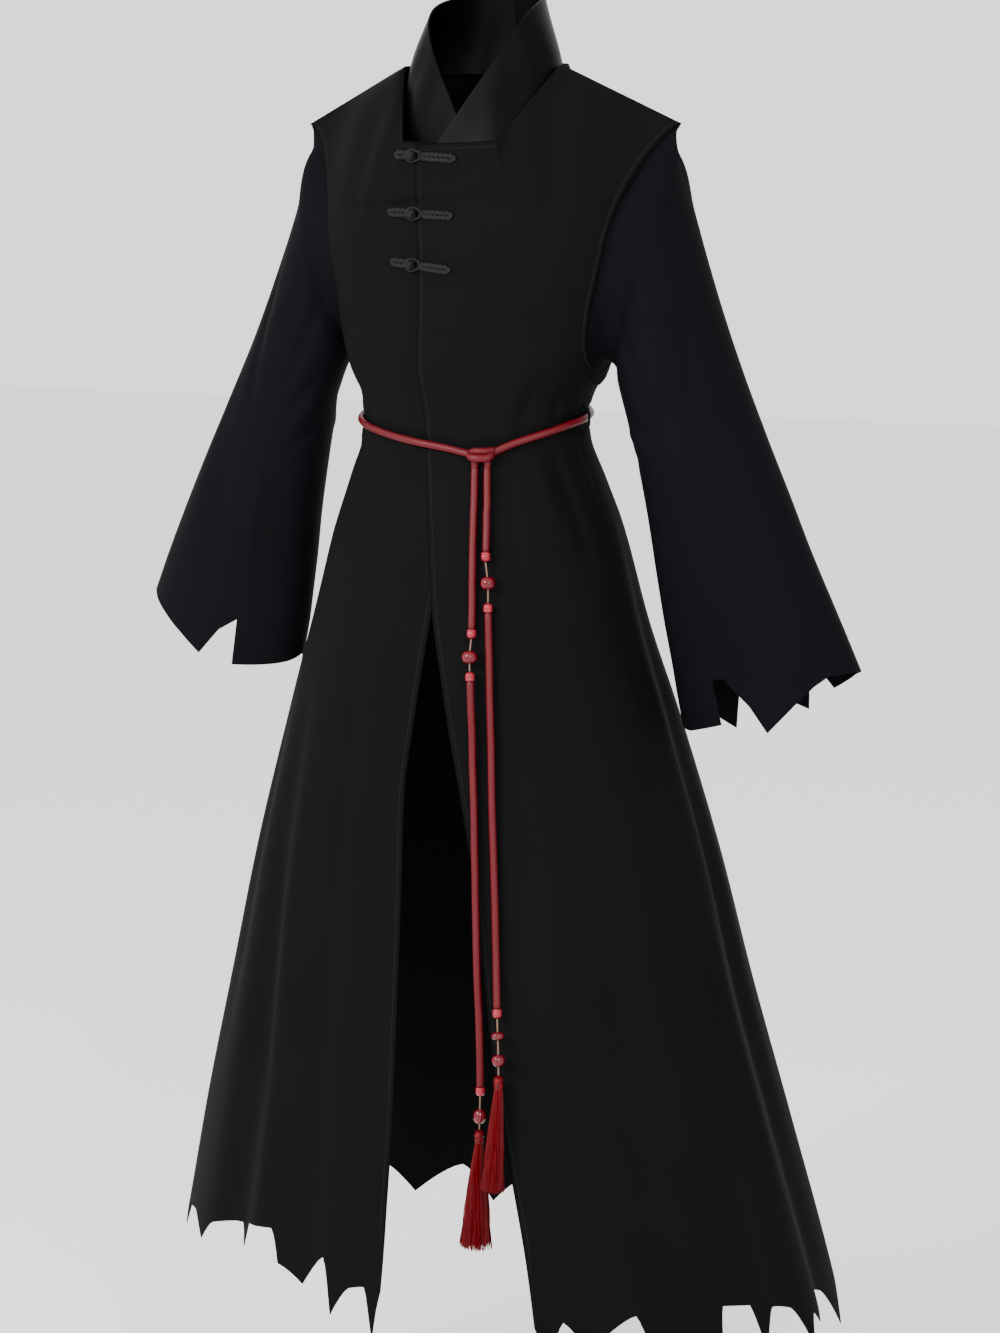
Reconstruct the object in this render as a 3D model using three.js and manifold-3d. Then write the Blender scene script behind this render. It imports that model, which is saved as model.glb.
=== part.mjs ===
// A long coat in the kimono manner, worn by nobody and kept hollow. Millimetres, +Z up, the front faces -Y
// and +X is the wearer's left. The origin lies between the two side neck points, where shoulders carry it.
import * as THREE from "three";
import { mergeVertices } from "three/addons/utils/BufferGeometryUtils.js";
import Module from "manifold-3d";

const wasm = await Module();
wasm.setup();

const WALL = { coat: 1.6, sleeve: 1.4, collar: 2.2 };
const SEAM = 0.3;
const ROPE_RADIUS = 4;
const THREAD_RADIUS = 1;
const RADIANS = Math.PI / 180;

const MATERIALS = {
  coat: { color: "#1b1b1c", roughness: 0.85, metalness: 0 },
  sleeve: { color: "#17181c", roughness: 0.8, metalness: 0 },
  collar: { color: "#0e0d10", roughness: 0.6, metalness: 0 },
  braid: { color: "#2a2a2c", roughness: 0.75, metalness: 0 },
  rope: { color: "#96282d", roughness: 0.6, metalness: 0 },
  thread: { color: "#7b5a45", roughness: 0.8, metalness: 0 },
  bead: { color: "#b83a44", roughness: 0.2, metalness: 0 },
  tassel: { color: "#820508", roughness: 0.55, metalness: 0 },
};

// Sections of the body from the chest to the hem: half width, depth in front of and behind the centre,
// the centre, and how square the section is (2 is an ellipse).
const SECTIONS = [
  { z: -100, side: 188, front: 98, rear: 95, x: 0, y: 2, square: 2.5 },
  { z: -150, side: 190, front: 106, rear: 100, x: 0, y: 0, square: 2.5 },
  { z: -220, side: 178, front: 103, rear: 100, x: 0, y: -10, square: 2.4 },
  { z: -317, side: 152, front: 92, rear: 96, x: 0, y: -28, square: 2.2 },
  { z: -365, side: 128, front: 84, rear: 88, x: 0, y: -36, square: 2.1 },
  { z: -400, side: 133, front: 90, rear: 90, x: 0, y: -32, square: 2.0 },
  { z: -440, side: 149, front: 100, rear: 98, x: 0, y: -29, square: 2.0 },
  { z: -500, side: 170, front: 114, rear: 116, x: 0, y: -27, square: 2.0 },
  { z: -600, side: 197, front: 130, rear: 144, x: 0, y: -27, square: 2.0 },
  { z: -700, side: 228, front: 146, rear: 166, x: 0, y: -21, square: 2.0 },
  { z: -850, side: 271, front: 170, rear: 192, x: 0, y: -14, square: 2.0 },
  { z: -1000, side: 306, front: 192, rear: 216, x: 1, y: -10, square: 2.0 },
  { z: -1150, side: 345, front: 213, rear: 236, x: 4, y: -4, square: 2.0 },
  { z: -1300, side: 383, front: 232, rear: 252, x: 10, y: 0, square: 2.0 },
  { z: -1420, side: 413, front: 246, rear: 264, x: 14, y: 0, square: 2.0 },
];

// Folds of the skirt: the angle round the body where each starts and ends, its heights, its half width in
// degrees and its depth at the hem, which is a trough where it is below 0.
const FOLDS = [
  { from: -50, to: -41, top: -560, bottom: -1100, width: 6, depth: -13 },
  { from: -44, to: -32, top: -620, bottom: -1100, width: 4, depth: 6 },
  { from: -29, to: -20, top: -450, bottom: -760, width: 4, depth: -4 },
  { from: -76, to: -74, top: -520, bottom: -1200, width: 8, depth: 5 },
  { from: 40, to: 48, top: -450, bottom: -900, width: 5, depth: -4 },
  { from: 60, to: 62, top: -600, bottom: -1250, width: 8, depth: 4 },
  { from: 80, to: 76, top: -420, bottom: -1100, width: 5, depth: -6 },
  { from: 96, to: 98, top: -400, bottom: -900, width: 6, depth: -12 },
  { from: 118, to: 114, top: -480, bottom: -1150, width: 7, depth: 9 },
  { from: 138, to: 134, top: -430, bottom: -1050, width: 6, depth: -11 },
  { from: 160, to: 158, top: -520, bottom: -1200, width: 7, depth: 8 },
  { from: 182, to: 184, top: -440, bottom: -1000, width: 6, depth: -10 },
  { from: 204, to: 208, top: -520, bottom: -1150, width: 7, depth: 9 },
  { from: 226, to: 230, top: -430, bottom: -1100, width: 6, depth: -11 },
  { from: 248, to: 252, top: -500, bottom: -1200, width: 6, depth: 7 },
  { from: 262, to: 264, top: -410, bottom: -950, width: 5, depth: -8 },
];

// The angle of each front's inner edge by height. The left front laps over the right as far as the slit's
// top, and below it the two part.
const FRONT_EDGES = [
  { z: -84, left: -8, right: 5 },
  { z: -190, left: -6.5, right: 6 },
  { z: -280, left: -7.6, right: 6 },
  { z: -331, left: -8.8, right: 6 },
  { z: -381, left: -7, right: 6.5 },
  { z: -439, left: -4, right: 6.5 },
  { z: -502, left: -0.4, right: 5.5 },
  { z: -572, left: 2.5, right: 2.7 },
  { z: -641, left: 6.1, right: 0.4 },
  { z: -698, left: 8.7, right: -1.4 },
  { z: -763, left: 11.8, right: -2.9 },
  { z: -850, left: 15.1, right: -2.3 },
  { z: -944, left: 17, right: -1.7 },
  { z: -1103, left: 19.9, right: -1.7 },
  { z: -1241, left: 22.4, right: -2.8 },
  { z: -1340, left: 23.4, right: -3.8 },
];

// The angle of the armhole's front edge by height, down to the underarm, where the side seam starts.
const ARMHOLE = [
  { z: -190, angle: 63 },
  { z: -235, angle: 63.5 },
  { z: -275, angle: 65.5 },
  { z: -300, angle: 70 },
  { z: -316, angle: 78 },
  { z: -327, angle: 90 },
];

const CHEST = -190;
const YOKE_ROWS = [0, 0.15, 0.35, 0.55, 0.75];
const ROW_HEIGHTS = [
  CHEST, -235, -275, -300, -316, -327, -350, -372, -400, -430, -470, -520, -572, -620, -680, -750, -840,
  -935, -1035, -1140, -1245,
];
const UNDERARM_ROW = YOKE_ROWS.length + ARMHOLE.length - 1;
const WAIST_ROW = YOKE_ROWS.length + ROW_HEIGHTS.indexOf(-372);

// The top edge, for the wearer's left: closure to corner, corner to neck point, neck point to shoulder tip.
const NECK_CORNER = new THREE.Vector3(57, -95, -80);
const NECK_POINT = new THREE.Vector3(95, -18, 0);
const SHOULDER_TIP = new THREE.Vector3(226, 0, -62);
const NECK_BOTTOM = { y: -97, z: -84 };
const NAPE = new THREE.Vector3(0, 66, 4);

// Columns of each panel. The hem's corners are given by angle and height, and the top by its place on the
// top edge: 0 to 1 neckline, 1 to 2 side of the neck, 2 to 3 shoulder, on the back 1 to 2 is the neckline.
const LEFT_COLUMNS = [
  { angle: 23.4, hem: -1330, top: 0 },
  { angle: 25, hem: -1374, top: 0.22 },
  { angle: 28.5, hem: -1322, top: 0.45 },
  { angle: 33, hem: -1362, top: 0.68 },
  { angle: 36.5, hem: -1330, top: 0.86 },
  { angle: 41.6, hem: -1313, top: 1 },
  { angle: 44, hem: -1364, top: 1.3 },
  { angle: 51, hem: -1344, top: 1.65 },
  { angle: 57, hem: -1370, top: 2 },
  { angle: 59.4, hem: -1306, top: 2.12 },
  { angle: 65.9, hem: -1309, top: 2.25 },
  { angle: 68, hem: -1360, top: 2.38 },
  { angle: 72.6, hem: -1318, top: 2.5 },
  { angle: 79, hem: -1325, top: 2.63 },
  { angle: 84, hem: -1370, top: 2.76 },
  { angle: 87, hem: -1338, top: 2.88 },
  { angle: 90, hem: -1352, top: 3 },
];
const RIGHT_COLUMNS = [
  { angle: -3.8, hem: -1314, top: 0 },
  { angle: -4.8, hem: -1368, top: 0.2 },
  { angle: -7, hem: -1312, top: 0.4 },
  { angle: -10, hem: -1317, top: 0.6 },
  { angle: -13.1, hem: -1351, top: 0.8 },
  { angle: -16, hem: -1290, top: 1 },
  { angle: -20.1, hem: -1327, top: 1.35 },
  { angle: -26, hem: -1311, top: 1.7 },
  { angle: -28.5, hem: -1274, top: 2 },
  { angle: -36.5, hem: -1281, top: 2.12 },
  { angle: -38.3, hem: -1312, top: 2.22 },
  { angle: -40.5, hem: -1288, top: 2.32 },
  { angle: -50, hem: -1301, top: 2.44 },
  { angle: -54, hem: -1326, top: 2.54 },
  { angle: -62, hem: -1303, top: 2.64 },
  { angle: -72, hem: -1310, top: 2.74 },
  { angle: -76, hem: -1342, top: 2.83 },
  { angle: -80, hem: -1308, top: 2.92 },
  { angle: -90, hem: -1316, top: 3 },
];
const BACK_COLUMNS = [
  { angle: 90, hem: -1352, top: 0 },
  { angle: 95, hem: -1326, top: 0.12 },
  { angle: 101, hem: -1334, top: 0.25 },
  { angle: 107, hem: -1380, top: 0.38 },
  { angle: 113, hem: -1330, top: 0.52 },
  { angle: 122, hem: -1366, top: 0.66 },
  { angle: 128, hem: -1322, top: 0.8 },
  { angle: 137, hem: -1372, top: 1 },
  { angle: 144, hem: -1334, top: 1.12 },
  { angle: 152, hem: -1326, top: 1.24 },
  { angle: 160, hem: -1364, top: 1.38 },
  { angle: 168, hem: -1330, top: 1.52 },
  { angle: 178, hem: -1378, top: 1.65 },
  { angle: 184, hem: -1328, top: 1.77 },
  { angle: 194, hem: -1332, top: 1.89 },
  { angle: 200, hem: -1366, top: 2 },
  { angle: 206, hem: -1322, top: 2.15 },
  { angle: 215, hem: -1358, top: 2.3 },
  { angle: 222, hem: -1318, top: 2.45 },
  { angle: 231, hem: -1324, top: 2.58 },
  { angle: 237, hem: -1354, top: 2.7 },
  { angle: 243, hem: -1310, top: 2.8 },
  { angle: 252, hem: -1346, top: 2.88 },
  { angle: 257, hem: -1308, top: 2.94 },
  { angle: 270, hem: -1316, top: 3 },
];

// Sections of the left sleeve beyond the armhole: its outer and inner edge and its half depth.
const SLEEVE = [
  { outer: [225, 2, -98], inner: [160, -10, -320], depth: 46 },
  { outer: [236, 6, -148], inner: [171, -20, -343], depth: 50 },
  { outer: [266, 4, -240], inner: [186, -25, -385], depth: 53 },
  { outer: [296, 2, -318], inner: [196, -21, -430], depth: 54 },
  { outer: [329, 0, -394], inner: [205, -18, -482], depth: 54 },
  { outer: [356, -2, -452], inner: [213, -16, -535], depth: 54 },
  { outer: [381, -3, -508], inner: [220, -12, -586], depth: 53 },
  { outer: [409, 0, -569], inner: [229, -8, -640], depth: 52 },
  { outer: [437, 4, -632], inner: [238, -5, -698], depth: 51 },
];
const RIGHT_SLEEVE_DROP = 0.925;

// The torn cuffs: the turn from the outer edge over the front, and how far each corner hangs past the cuff.
const LEFT_CUFF = [
  { turn: 0, drop: 0 }, { turn: 22, drop: -2 }, { turn: 38, drop: -4 }, { turn: 50, drop: 2 },
  { turn: 66, drop: 16 }, { turn: 86, drop: 36 }, { turn: 92, drop: 4 }, { turn: 110, drop: -52 },
  { turn: 114, drop: 15 }, { turn: 146, drop: 13 }, { turn: 180, drop: 2 }, { turn: 200, drop: 14 },
  { turn: 215, drop: 0 }, { turn: 231, drop: 26 }, { turn: 239, drop: -8 }, { turn: 262, drop: 4 },
  { turn: 279, drop: 27 }, { turn: 289, drop: -26 }, { turn: 301, drop: 12 }, { turn: 328, drop: 3 },
];
const RIGHT_CUFF = [
  { turn: 0, drop: 0 }, { turn: 26, drop: 8 }, { turn: 50, drop: 19 }, { turn: 72, drop: 32 },
  { turn: 89, drop: 44 }, { turn: 99, drop: 8 }, { turn: 110, drop: -12 }, { turn: 114, drop: 42 },
  { turn: 138, drop: 30 }, { turn: 160, drop: 20 }, { turn: 180, drop: 10 }, { turn: 202, drop: 24 },
  { turn: 214, drop: 0 }, { turn: 236, drop: 10 }, { turn: 248, drop: 30 }, { turn: 257, drop: -16 },
  { turn: 276, drop: 6 }, { turn: 292, drop: 26 }, { turn: 304, drop: -4 }, { turn: 330, drop: 2 },
];

// Sections of the left collar band from the nape to its hidden end: its upper and its lower edge.
const COLLAR = [
  { upper: [0, 60, 82], lower: [0, 61, -8] },
  { upper: [30, 52, 80], lower: [38, 52, -8] },
  { upper: [51, 31, 75], lower: [64, 34, -8] },
  { upper: [60, 4, 69], lower: [84, 12, -8] },
  { upper: [61, -20, 59], lower: [90, -15, -9] },
  { upper: [55, -40, 42], lower: [84.3, -36.3, -26] },
  { upper: [43, -54, 16], lower: [74.2, -58, -52] },
  { upper: [28, -65, -9], lower: [59, -80.5, -80] },
  { upper: [14, -73.5, -32], lower: [42, -91, -104] },
  { upper: [0, -81, -55], lower: [20, -94, -120] },
  { upper: [-16, -87, -80], lower: [-2, -95, -134] },
  { upper: [-30, -90.5, -102], lower: [-20, -96, -146] },
];
const COLLAR_BULGE = 2.6;
const COLLAR_SHARES = [0, 0.3, 0.6, 0.84, 1];

// The three frog fastenings: the knot's place, the outer end on each side and how far the left end sinks.
const FROGS = [
  { knot: -42, z: -96, rightEnd: -64, leftEnd: 9, sink: 3 },
  { knot: -37, z: -157, rightEnd: -67, leftEnd: 10, sink: 2 },
  { knot: -36, z: -211, rightEnd: -61, leftEnd: 10, sink: 5 },
];
const FROG = { halfHeight: 5.6, cord: 1.9, clear: 1.1, ball: 4.6, loopRadius: 6, loopCord: 1.5 };

// The rope's height round the waist by angle, from one side of the knot round the back to the other.
const BELT = [
  [29.1, -405.7], [37, -398.5], [48, -391.5], [60, -385.5], [75, -379], [89, -375], [107, -370],
  [135, -364.5], [158, -362], [180, -361], [202, -362], [225, -364.5], [253, -370], [271, -375],
  [290, -380.5], [307, -385.5], [322, -390], [337, -394.8], [350, -399], [366, -404], [374.5, -408.1],
];
const KNOT = new THREE.Vector3(54, -124.3, -410);
const KNOT_ANGLE = 21.6;
const BELT_CLEAR = 2.8;

// The hanging ends of the rope, by hand: A is the shorter one, B the longer one.
const ROPE_A_UPPER = [
  [60.5, -122.7, -422.25], [61, -123.9, -428.5], [61.5, -125, -435], [62, -126, -441], [62.5, -127, -447],
  [63.2, -128.2, -453.5], [64, -129.5, -460], [64.5, -131.2, -466.5], [65, -133, -473], [65.8, -134.4, -479.5],
  [66.5, -135.8, -486], [67, -137.2, -492], [67.5, -138.6, -498], [68, -139.9, -504.5], [68.5, -141.2, -511],
];
const THREAD_A_UPPER = [
  [69.3, -143.3, -521.4], [72, -145.6, -532], [74.2, -147.3, -543], [75, -148.5, -553], [75.3, -149.2, -563.7],
];
const ROPE_A_LOWER = [
  [76, -150.5, -574], [78, -153, -602], [80, -155.5, -629], [82, -158.5, -657], [84, -161, -685],
  [86.5, -164, -713], [88.5, -167, -740], [90.5, -170, -768], [93, -173, -796], [95.5, -176, -824],
  [98, -179, -851], [100.5, -182, -879], [103, -185.5, -907], [105.5, -189, -935], [108.5, -193.5, -962],
  [112, -199, -990],
];
const THREAD_A_LOWER = [
  [113.4, -201.3, -1000.3], [115.3, -204, -1015], [117, -206.2, -1030], [118, -207.5, -1045], [118.4, -208, -1060],
];
const ROPE_B_UPPER = [
  [47.5, -126.2, -422.25], [48.2, -128.1, -432.5], [49, -130, -443], [49.8, -132, -453.5], [50.5, -134, -464],
  [51.2, -136.2, -475], [52, -138.5, -486], [52.8, -140.5, -496.5], [53.5, -142.5, -507],
  [54.2, -144.2, -517.5], [55, -146, -528], [55.8, -147.8, -539], [56.5, -149.5, -550],
  [57.4, -151.2, -560.5], [58.3, -153, -571], [58.9, -154.8, -581.5], [59.5, -156.5, -592],
];
const THREAD_B_UPPER = [
  [60.1, -158.3, -602.5], [60.3, -161.4, -612], [60.6, -163.6, -622], [61.3, -164.8, -629], [61.8, -165.4, -636],
];
const ROPE_B_LOWER = [
  [62.6, -166, -646.5], [64.6, -168, -675], [66.5, -169, -704], [68, -171, -732], [70.5, -173.8, -761],
  [73, -176.8, -790], [75, -180, -819], [77.5, -183.3, -848], [79.5, -186.5, -876], [82, -190, -905],
  [84.5, -193.6, -934], [87, -196.8, -963], [89.5, -198.6, -992], [90.8, -199.2, -1020],
  [91.6, -199.4, -1049], [92, -199.5, -1078],
];
const THREAD_B_LOWER = [
  [92, -199.5, -1088.4], [91.6, -199.5, -1101], [91.3, -199.5, -1113], [91.1, -199.5, -1119],
  [91, -199.5, -1125.5],
];
const CAP = { radius: 5.1, length: 9.7 };
const BEADS = {
  bead_a_1: { thread: THREAD_A_UPPER, share: 0.52, radius: 8, halfHeight: 7 },
  bead_b_1: { thread: THREAD_B_UPPER, share: 0.56, radius: 8.5, halfHeight: 7 },
  bead_a_2: { thread: THREAD_A_LOWER, share: 0.3, radius: 7, halfHeight: 4.5 },
  bead_a_3: { thread: THREAD_A_LOWER, share: 0.73, radius: 7.2, halfHeight: 6.5 },
  bead_b_2: { thread: THREAD_B_LOWER, share: 0.6, radius: 7, halfHeight: 8 },
};
const TASSELS = {
  tassel_a: { top: [118.4, -208, -1060.4], head: 15, length: 127, spread: 12, lean: 0.13 },
  tassel_b: { top: [91, -199.5, -1125.9], head: 15, length: 132, spread: 16, lean: 0.08 },
};
const STRANDS = 40;
const STRAND_SHARES = [0, 0.2, 0.5, 1];

function smooth(edgeA, edgeB, x) {
  const t = Math.min(Math.max((x - edgeA) / (edgeB - edgeA), 0), 1);
  return t * t * (3 - 2 * t);
}

// Reads one column of a table whose rows go down in z, on a smooth curve through the rows.
function readRow(rows, column, z) {
  const last = rows.length - 1;
  if (z >= rows[0].z) return rows[0][column];
  if (z <= rows[last].z) return rows[last][column];
  const i = rows.findIndex((row) => row.z < z) - 1;
  const slope = (k) => {
    const a = rows[Math.max(k - 1, 0)];
    const b = rows[Math.min(k + 1, last)];
    return (b[column] - a[column]) / (b.z - a.z);
  };
  const span = rows[i + 1].z - rows[i].z;
  const t = (z - rows[i].z) / span;
  const rise = rows[i + 1][column] - rows[i][column];
  const a = slope(i) * span - rise;
  const b = rise - slope(i + 1) * span;
  return rows[i][column] + t * rise + t * (1 - t) * ((1 - t) * a + t * b);
}

function hermite(p0, m0, p1, m1, t) {
  const t2 = t * t;
  const t3 = t2 * t;
  return new THREE.Vector3()
    .addScaledVector(p0, 2 * t3 - 3 * t2 + 1)
    .addScaledVector(m0, t3 - 2 * t2 + t)
    .addScaledVector(p1, 3 * t2 - 2 * t3)
    .addScaledVector(m1, t3 - t2);
}

function foldDepth(angle, z) {
  let depth = 0;
  for (const fold of FOLDS) {
    const grown = smooth(fold.top, fold.bottom, z);
    const along = Math.min(Math.max((fold.top - z) / (fold.top - fold.bottom), 0), 1);
    const centre = fold.from + (fold.to - fold.from) * along;
    const off = ((angle - centre + 540) % 360) - 180;
    depth += fold.depth * grown * Math.exp(-((off / fold.width) ** 2));
  }
  return depth;
}

// The body's surface: the angle goes from the front, 0, to the wearer's left, 90, and on to the back, 180.
function bodyPoint(angle, z) {
  const s = Math.sin(angle * RADIANS);
  const c = Math.cos(angle * RADIANS);
  const side = readRow(SECTIONS, "side", z);
  const deep = readRow(SECTIONS, c > 0 ? "front" : "rear", z);
  const power = 2 / readRow(SECTIONS, "square", z);
  const x = side * Math.sign(s) * Math.abs(s) ** power;
  const y = -deep * Math.sign(c) * Math.abs(c) ** power;
  const outward = new THREE.Vector2(x / side ** 2, y / deep ** 2).normalize();
  const fold = foldDepth(angle, z);
  return new THREE.Vector3(
    readRow(SECTIONS, "x", z) + x + outward.x * fold,
    readRow(SECTIONS, "y", z) + y + outward.y * fold,
    z,
  );
}

function bodyNormal(angle, z) {
  const round = bodyPoint(angle + 0.5, z).sub(bodyPoint(angle - 0.5, z));
  const down = bodyPoint(angle, z - 2).sub(bodyPoint(angle, z + 2));
  return down.cross(round).normalize();
}

// Joins an outer and an inner grid of points into one closed wall. A ring's columns join up.
function wallGeometry(outer, inner, ring = false) {
  const rows = outer.length;
  const columns = outer[0].length;
  const positions = [];
  for (const grid of [outer, inner]) {
    for (const row of grid) {
      for (const p of row) positions.push(p.x, p.y, p.z);
    }
  }
  const at = (r, c) => r * columns + (c % columns);
  const under = (r, c) => rows * columns + at(r, c);
  const triangles = [];
  const quad = (a, b, c, d) => triangles.push(a, b, c, a, c, d);
  const steps = ring ? columns : columns - 1;
  for (let r = 0; r < rows - 1; r++) {
    for (let c = 0; c < steps; c++) {
      quad(at(r, c), at(r + 1, c), at(r + 1, c + 1), at(r, c + 1));
      quad(under(r, c), under(r, c + 1), under(r + 1, c + 1), under(r + 1, c));
    }
    if (!ring) {
      quad(at(r, 0), under(r, 0), under(r + 1, 0), at(r + 1, 0));
      quad(at(r, steps), at(r + 1, steps), under(r + 1, steps), under(r, steps));
    }
  }
  for (let c = 0; c < steps; c++) {
    quad(at(0, c), at(0, c + 1), under(0, c + 1), under(0, c));
    quad(at(rows - 1, c), under(rows - 1, c), under(rows - 1, c + 1), at(rows - 1, c + 1));
  }
  const geometry = new THREE.BufferGeometry();
  geometry.setAttribute("position", new THREE.Float32BufferAttribute(positions, 3));
  geometry.setIndex(triangles);
  return geometry;
}

function gridNormal(grid, r, c, ring = false) {
  const columns = grid[0].length;
  const up = grid[Math.max(r - 1, 0)];
  const down = grid[Math.min(r + 1, grid.length - 1)];
  const before = ring ? (c + columns - 1) % columns : Math.max(c - 1, 0);
  const after = ring ? (c + 1) % columns : Math.min(c + 1, columns - 1);
  const along = down[c].clone().sub(up[c]);
  const across = grid[r][after].clone().sub(grid[r][before]);
  return along.cross(across).normalize();
}

function offsetGrid(grid, normals, distance) {
  return grid.map((row, r) => row.map((p, c) => p.clone().addScaledVector(normals[r][c], -distance)));
}

// The top edge of a front by its place, 0 at the closure to 3 at the shoulder tip, for the side +1 or -1.
function frontTop(place, side, closureX) {
  const corner = NECK_CORNER.clone().setX(side * NECK_CORNER.x);
  const neck = NECK_POINT.clone().setX(side * NECK_POINT.x);
  const tip = SHOULDER_TIP.clone().setX(side * SHOULDER_TIP.x);
  if (place <= 1) return new THREE.Vector3(closureX, NECK_BOTTOM.y, NECK_BOTTOM.z).lerp(corner, place);
  const edge = place <= 2 ? corner.lerp(neck, place - 1) : neck.lerp(tip, place - 2);
  edge.y -= SEAM * 0.9 * smooth(1, 2, place);
  return edge;
}

function backTop(place) {
  const side = place < 1.5 ? 1 : -1;
  const near = place < 1.5 ? place : 3 - place;
  const neck = NECK_POINT.clone();
  if (near <= 1) {
    const edge = SHOULDER_TIP.clone().lerp(neck, near);
    return edge.set(side * edge.x, edge.y + SEAM * 0.9, edge.z);
  }
  const turn = (near - 1) * Math.PI;
  const x = side * neck.x * Math.cos(turn);
  const y = neck.y + SEAM * 0.9 + (NAPE.y - neck.y) * Math.sin(turn);
  return new THREE.Vector3(x, y, neck.z + (NAPE.z - neck.z) * Math.sin(turn));
}

// How the cloth leaves the top edge and arrives at the chest, by the place on the top edge.
function yokeSlopes(place, side, facing) {
  const start = new THREE.Vector3(0, 13 * facing, -105);
  const end = new THREE.Vector3(0, 12 * facing, -105);
  const shoulder = new THREE.Vector3(0, 118 * facing, -40);
  const shoulderEnd = new THREE.Vector3(-3 * side, 8 * facing, -150);
  const tip = new THREE.Vector3(-90 * side, 30 * facing, -60);
  const tipEnd = new THREE.Vector3(-20 * side, 30 * facing, -160);
  const toShoulder = smooth(0.95, 1.6, place);
  const toTip = smooth(2.2, 3, place);
  return [start.lerp(shoulder, toShoulder).lerp(tip, toTip), end.lerp(shoulderEnd, toShoulder).lerp(tipEnd, toTip)];
}

const CHEST_PLACES = [0, 0.42, 0.6, 1];

function chestShare(place) {
  const i = Math.min(Math.floor(place), 2);
  return CHEST_PLACES[i] + (CHEST_PLACES[i + 1] - CHEST_PLACES[i]) * (place - i);
}

// Rows of a panel from the top edge to the torn hem. edges(z) gives its two side angles at a height,
// and share tells how far across a column lies at the chest.
function panelRows(columns, edges, share, topEdge, slopes) {
  const first = columns[0].angle;
  const width = columns[columns.length - 1].angle - first;
  const angleAt = (column, z) => {
    const [a, b] = edges(z);
    const atHem = (column.angle - first) / width;
    const mixed = share(column.top) + (atHem - share(column.top)) * smooth(CHEST, -1245, z);
    return a + (b - a) * mixed;
  };
  const points = [];
  const normals = [];
  for (const v of YOKE_ROWS) {
    points.push(columns.map((column) => {
      const angle = angleAt(column, CHEST);
      const [leave, arrive] = slopes(column.top);
      return hermite(topEdge(column.top), leave, bodyPoint(angle, CHEST), arrive, v);
    }));
  }
  for (const z of ROW_HEIGHTS) points.push(columns.map((column) => bodyPoint(angleAt(column, z), z)));
  const lowest = ROW_HEIGHTS[ROW_HEIGHTS.length - 1];
  for (const part of [0.5, 1]) {
    points.push(columns.map((column) => {
      const z = lowest + (column.hem - lowest) * part;
      return bodyPoint(angleAt(column, z), z);
    }));
  }
  points.forEach((row, r) => {
    normals.push(row.map((p, c) => {
      if (r < YOKE_ROWS.length) return gridNormal(points, r, c);
      return bodyNormal(angleAt(columns[c], p.z), p.z);
    }));
  });
  return { points, normals };
}

const RIDGE = SHOULDER_TIP.clone().sub(NECK_POINT);

// On the shoulder seam both panels take their thickness along one direction, so the seam stays open evenly.
function evenShoulderSeam(panel, columns, isShoulder) {
  columns.forEach((column, c) => {
    if (!isShoulder(column.top)) return;
    const side = Math.sign(panel.points[0][c].x);
    panel.normals[0][c] = new THREE.Vector3(-side * RIDGE.z, 0, RIDGE.x).normalize();
  });
}

const seamAngle = (z) => (SEAM * 0.9) / readRow(SECTIONS, "side", z) / RADIANS;
const sideAngle = (z) => readRow(ARMHOLE, "angle", z) - (z <= ARMHOLE.at(-1).z ? seamAngle(z) : 0);

function closureX(side) {
  return bodyPoint(FRONT_EDGES[0][side], SECTIONS[0].z).x;
}

function makeFront(name) {
  const isLeft = name === "left";
  const side = isLeft ? 1 : -1;
  const columns = isLeft ? LEFT_COLUMNS : [...RIGHT_COLUMNS].reverse();
  const edges = (z) => {
    const inner = readRow(FRONT_EDGES, name, z);
    return isLeft ? [inner, sideAngle(z)] : [-sideAngle(z), inner];
  };
  const panel = panelRows(
    columns,
    edges,
    (place) => (isLeft ? chestShare(place) : 1 - chestShare(place)),
    (place) => frontTop(place, side, closureX(name)),
    (place) => yokeSlopes(place, side, -1),
  );
  evenShoulderSeam(panel, columns, (place) => place >= 2);
  return panel;
}

function makeBack() {
  const edges = (z) => [180 - sideAngle(z), 180 + sideAngle(z)];
  const share = (place) => {
    const near = place < 1.5 ? place : 3 - place;
    const across = near <= 1 ? 0.27 * near : 0.27 + 0.46 * (near - 1);
    return place < 1.5 ? across : 1 - across;
  };
  const slopes = (place) => {
    const side = place < 1.5 ? 1 : -1;
    const near = place < 1.5 ? place : 3 - place;
    return yokeSlopes(3 - 1.5 * near, side, 1);
  };
  const panel = panelRows(BACK_COLUMNS, edges, share, backTop, slopes);
  evenShoulderSeam(panel, BACK_COLUMNS, (place) => place <= 1 || place >= 2);
  return panel;
}

// The right front is pressed in where the left one laps over it.
function tuckUnder(panel, depth) {
  panel.points.forEach((row, r) => {
    row.forEach((p, c) => {
      const edge = bodyPoint(readRow(FRONT_EDGES, "left", p.z), Math.max(p.z, -1300));
      const lapped = smooth(edge.x - 26, edge.x - 4, p.x) * (1 - smooth(-600, -760, p.z));
      p.addScaledVector(panel.normals[r][c], -depth * lapped);
    });
  });
}

function panelGeometry({ points, normals }) {
  return wallGeometry(points, offsetGrid(points, normals, WALL.coat));
}

// A panel is made as an upper part and a skirt, which meet under the rope at the waist.
function panelParts({ points, normals }) {
  const upper = { points: points.slice(0, WAIST_ROW + 1), normals: normals.slice(0, WAIST_ROW + 1) };
  const skirtTop = points[WAIST_ROW].map((p) => p.clone().setZ(p.z - SEAM * 1.1));
  const skirt = { points: [skirtTop, ...points.slice(WAIST_ROW + 1)], normals: normals.slice(WAIST_ROW) };
  return [panelGeometry(upper), panelGeometry(skirt)];
}

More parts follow.
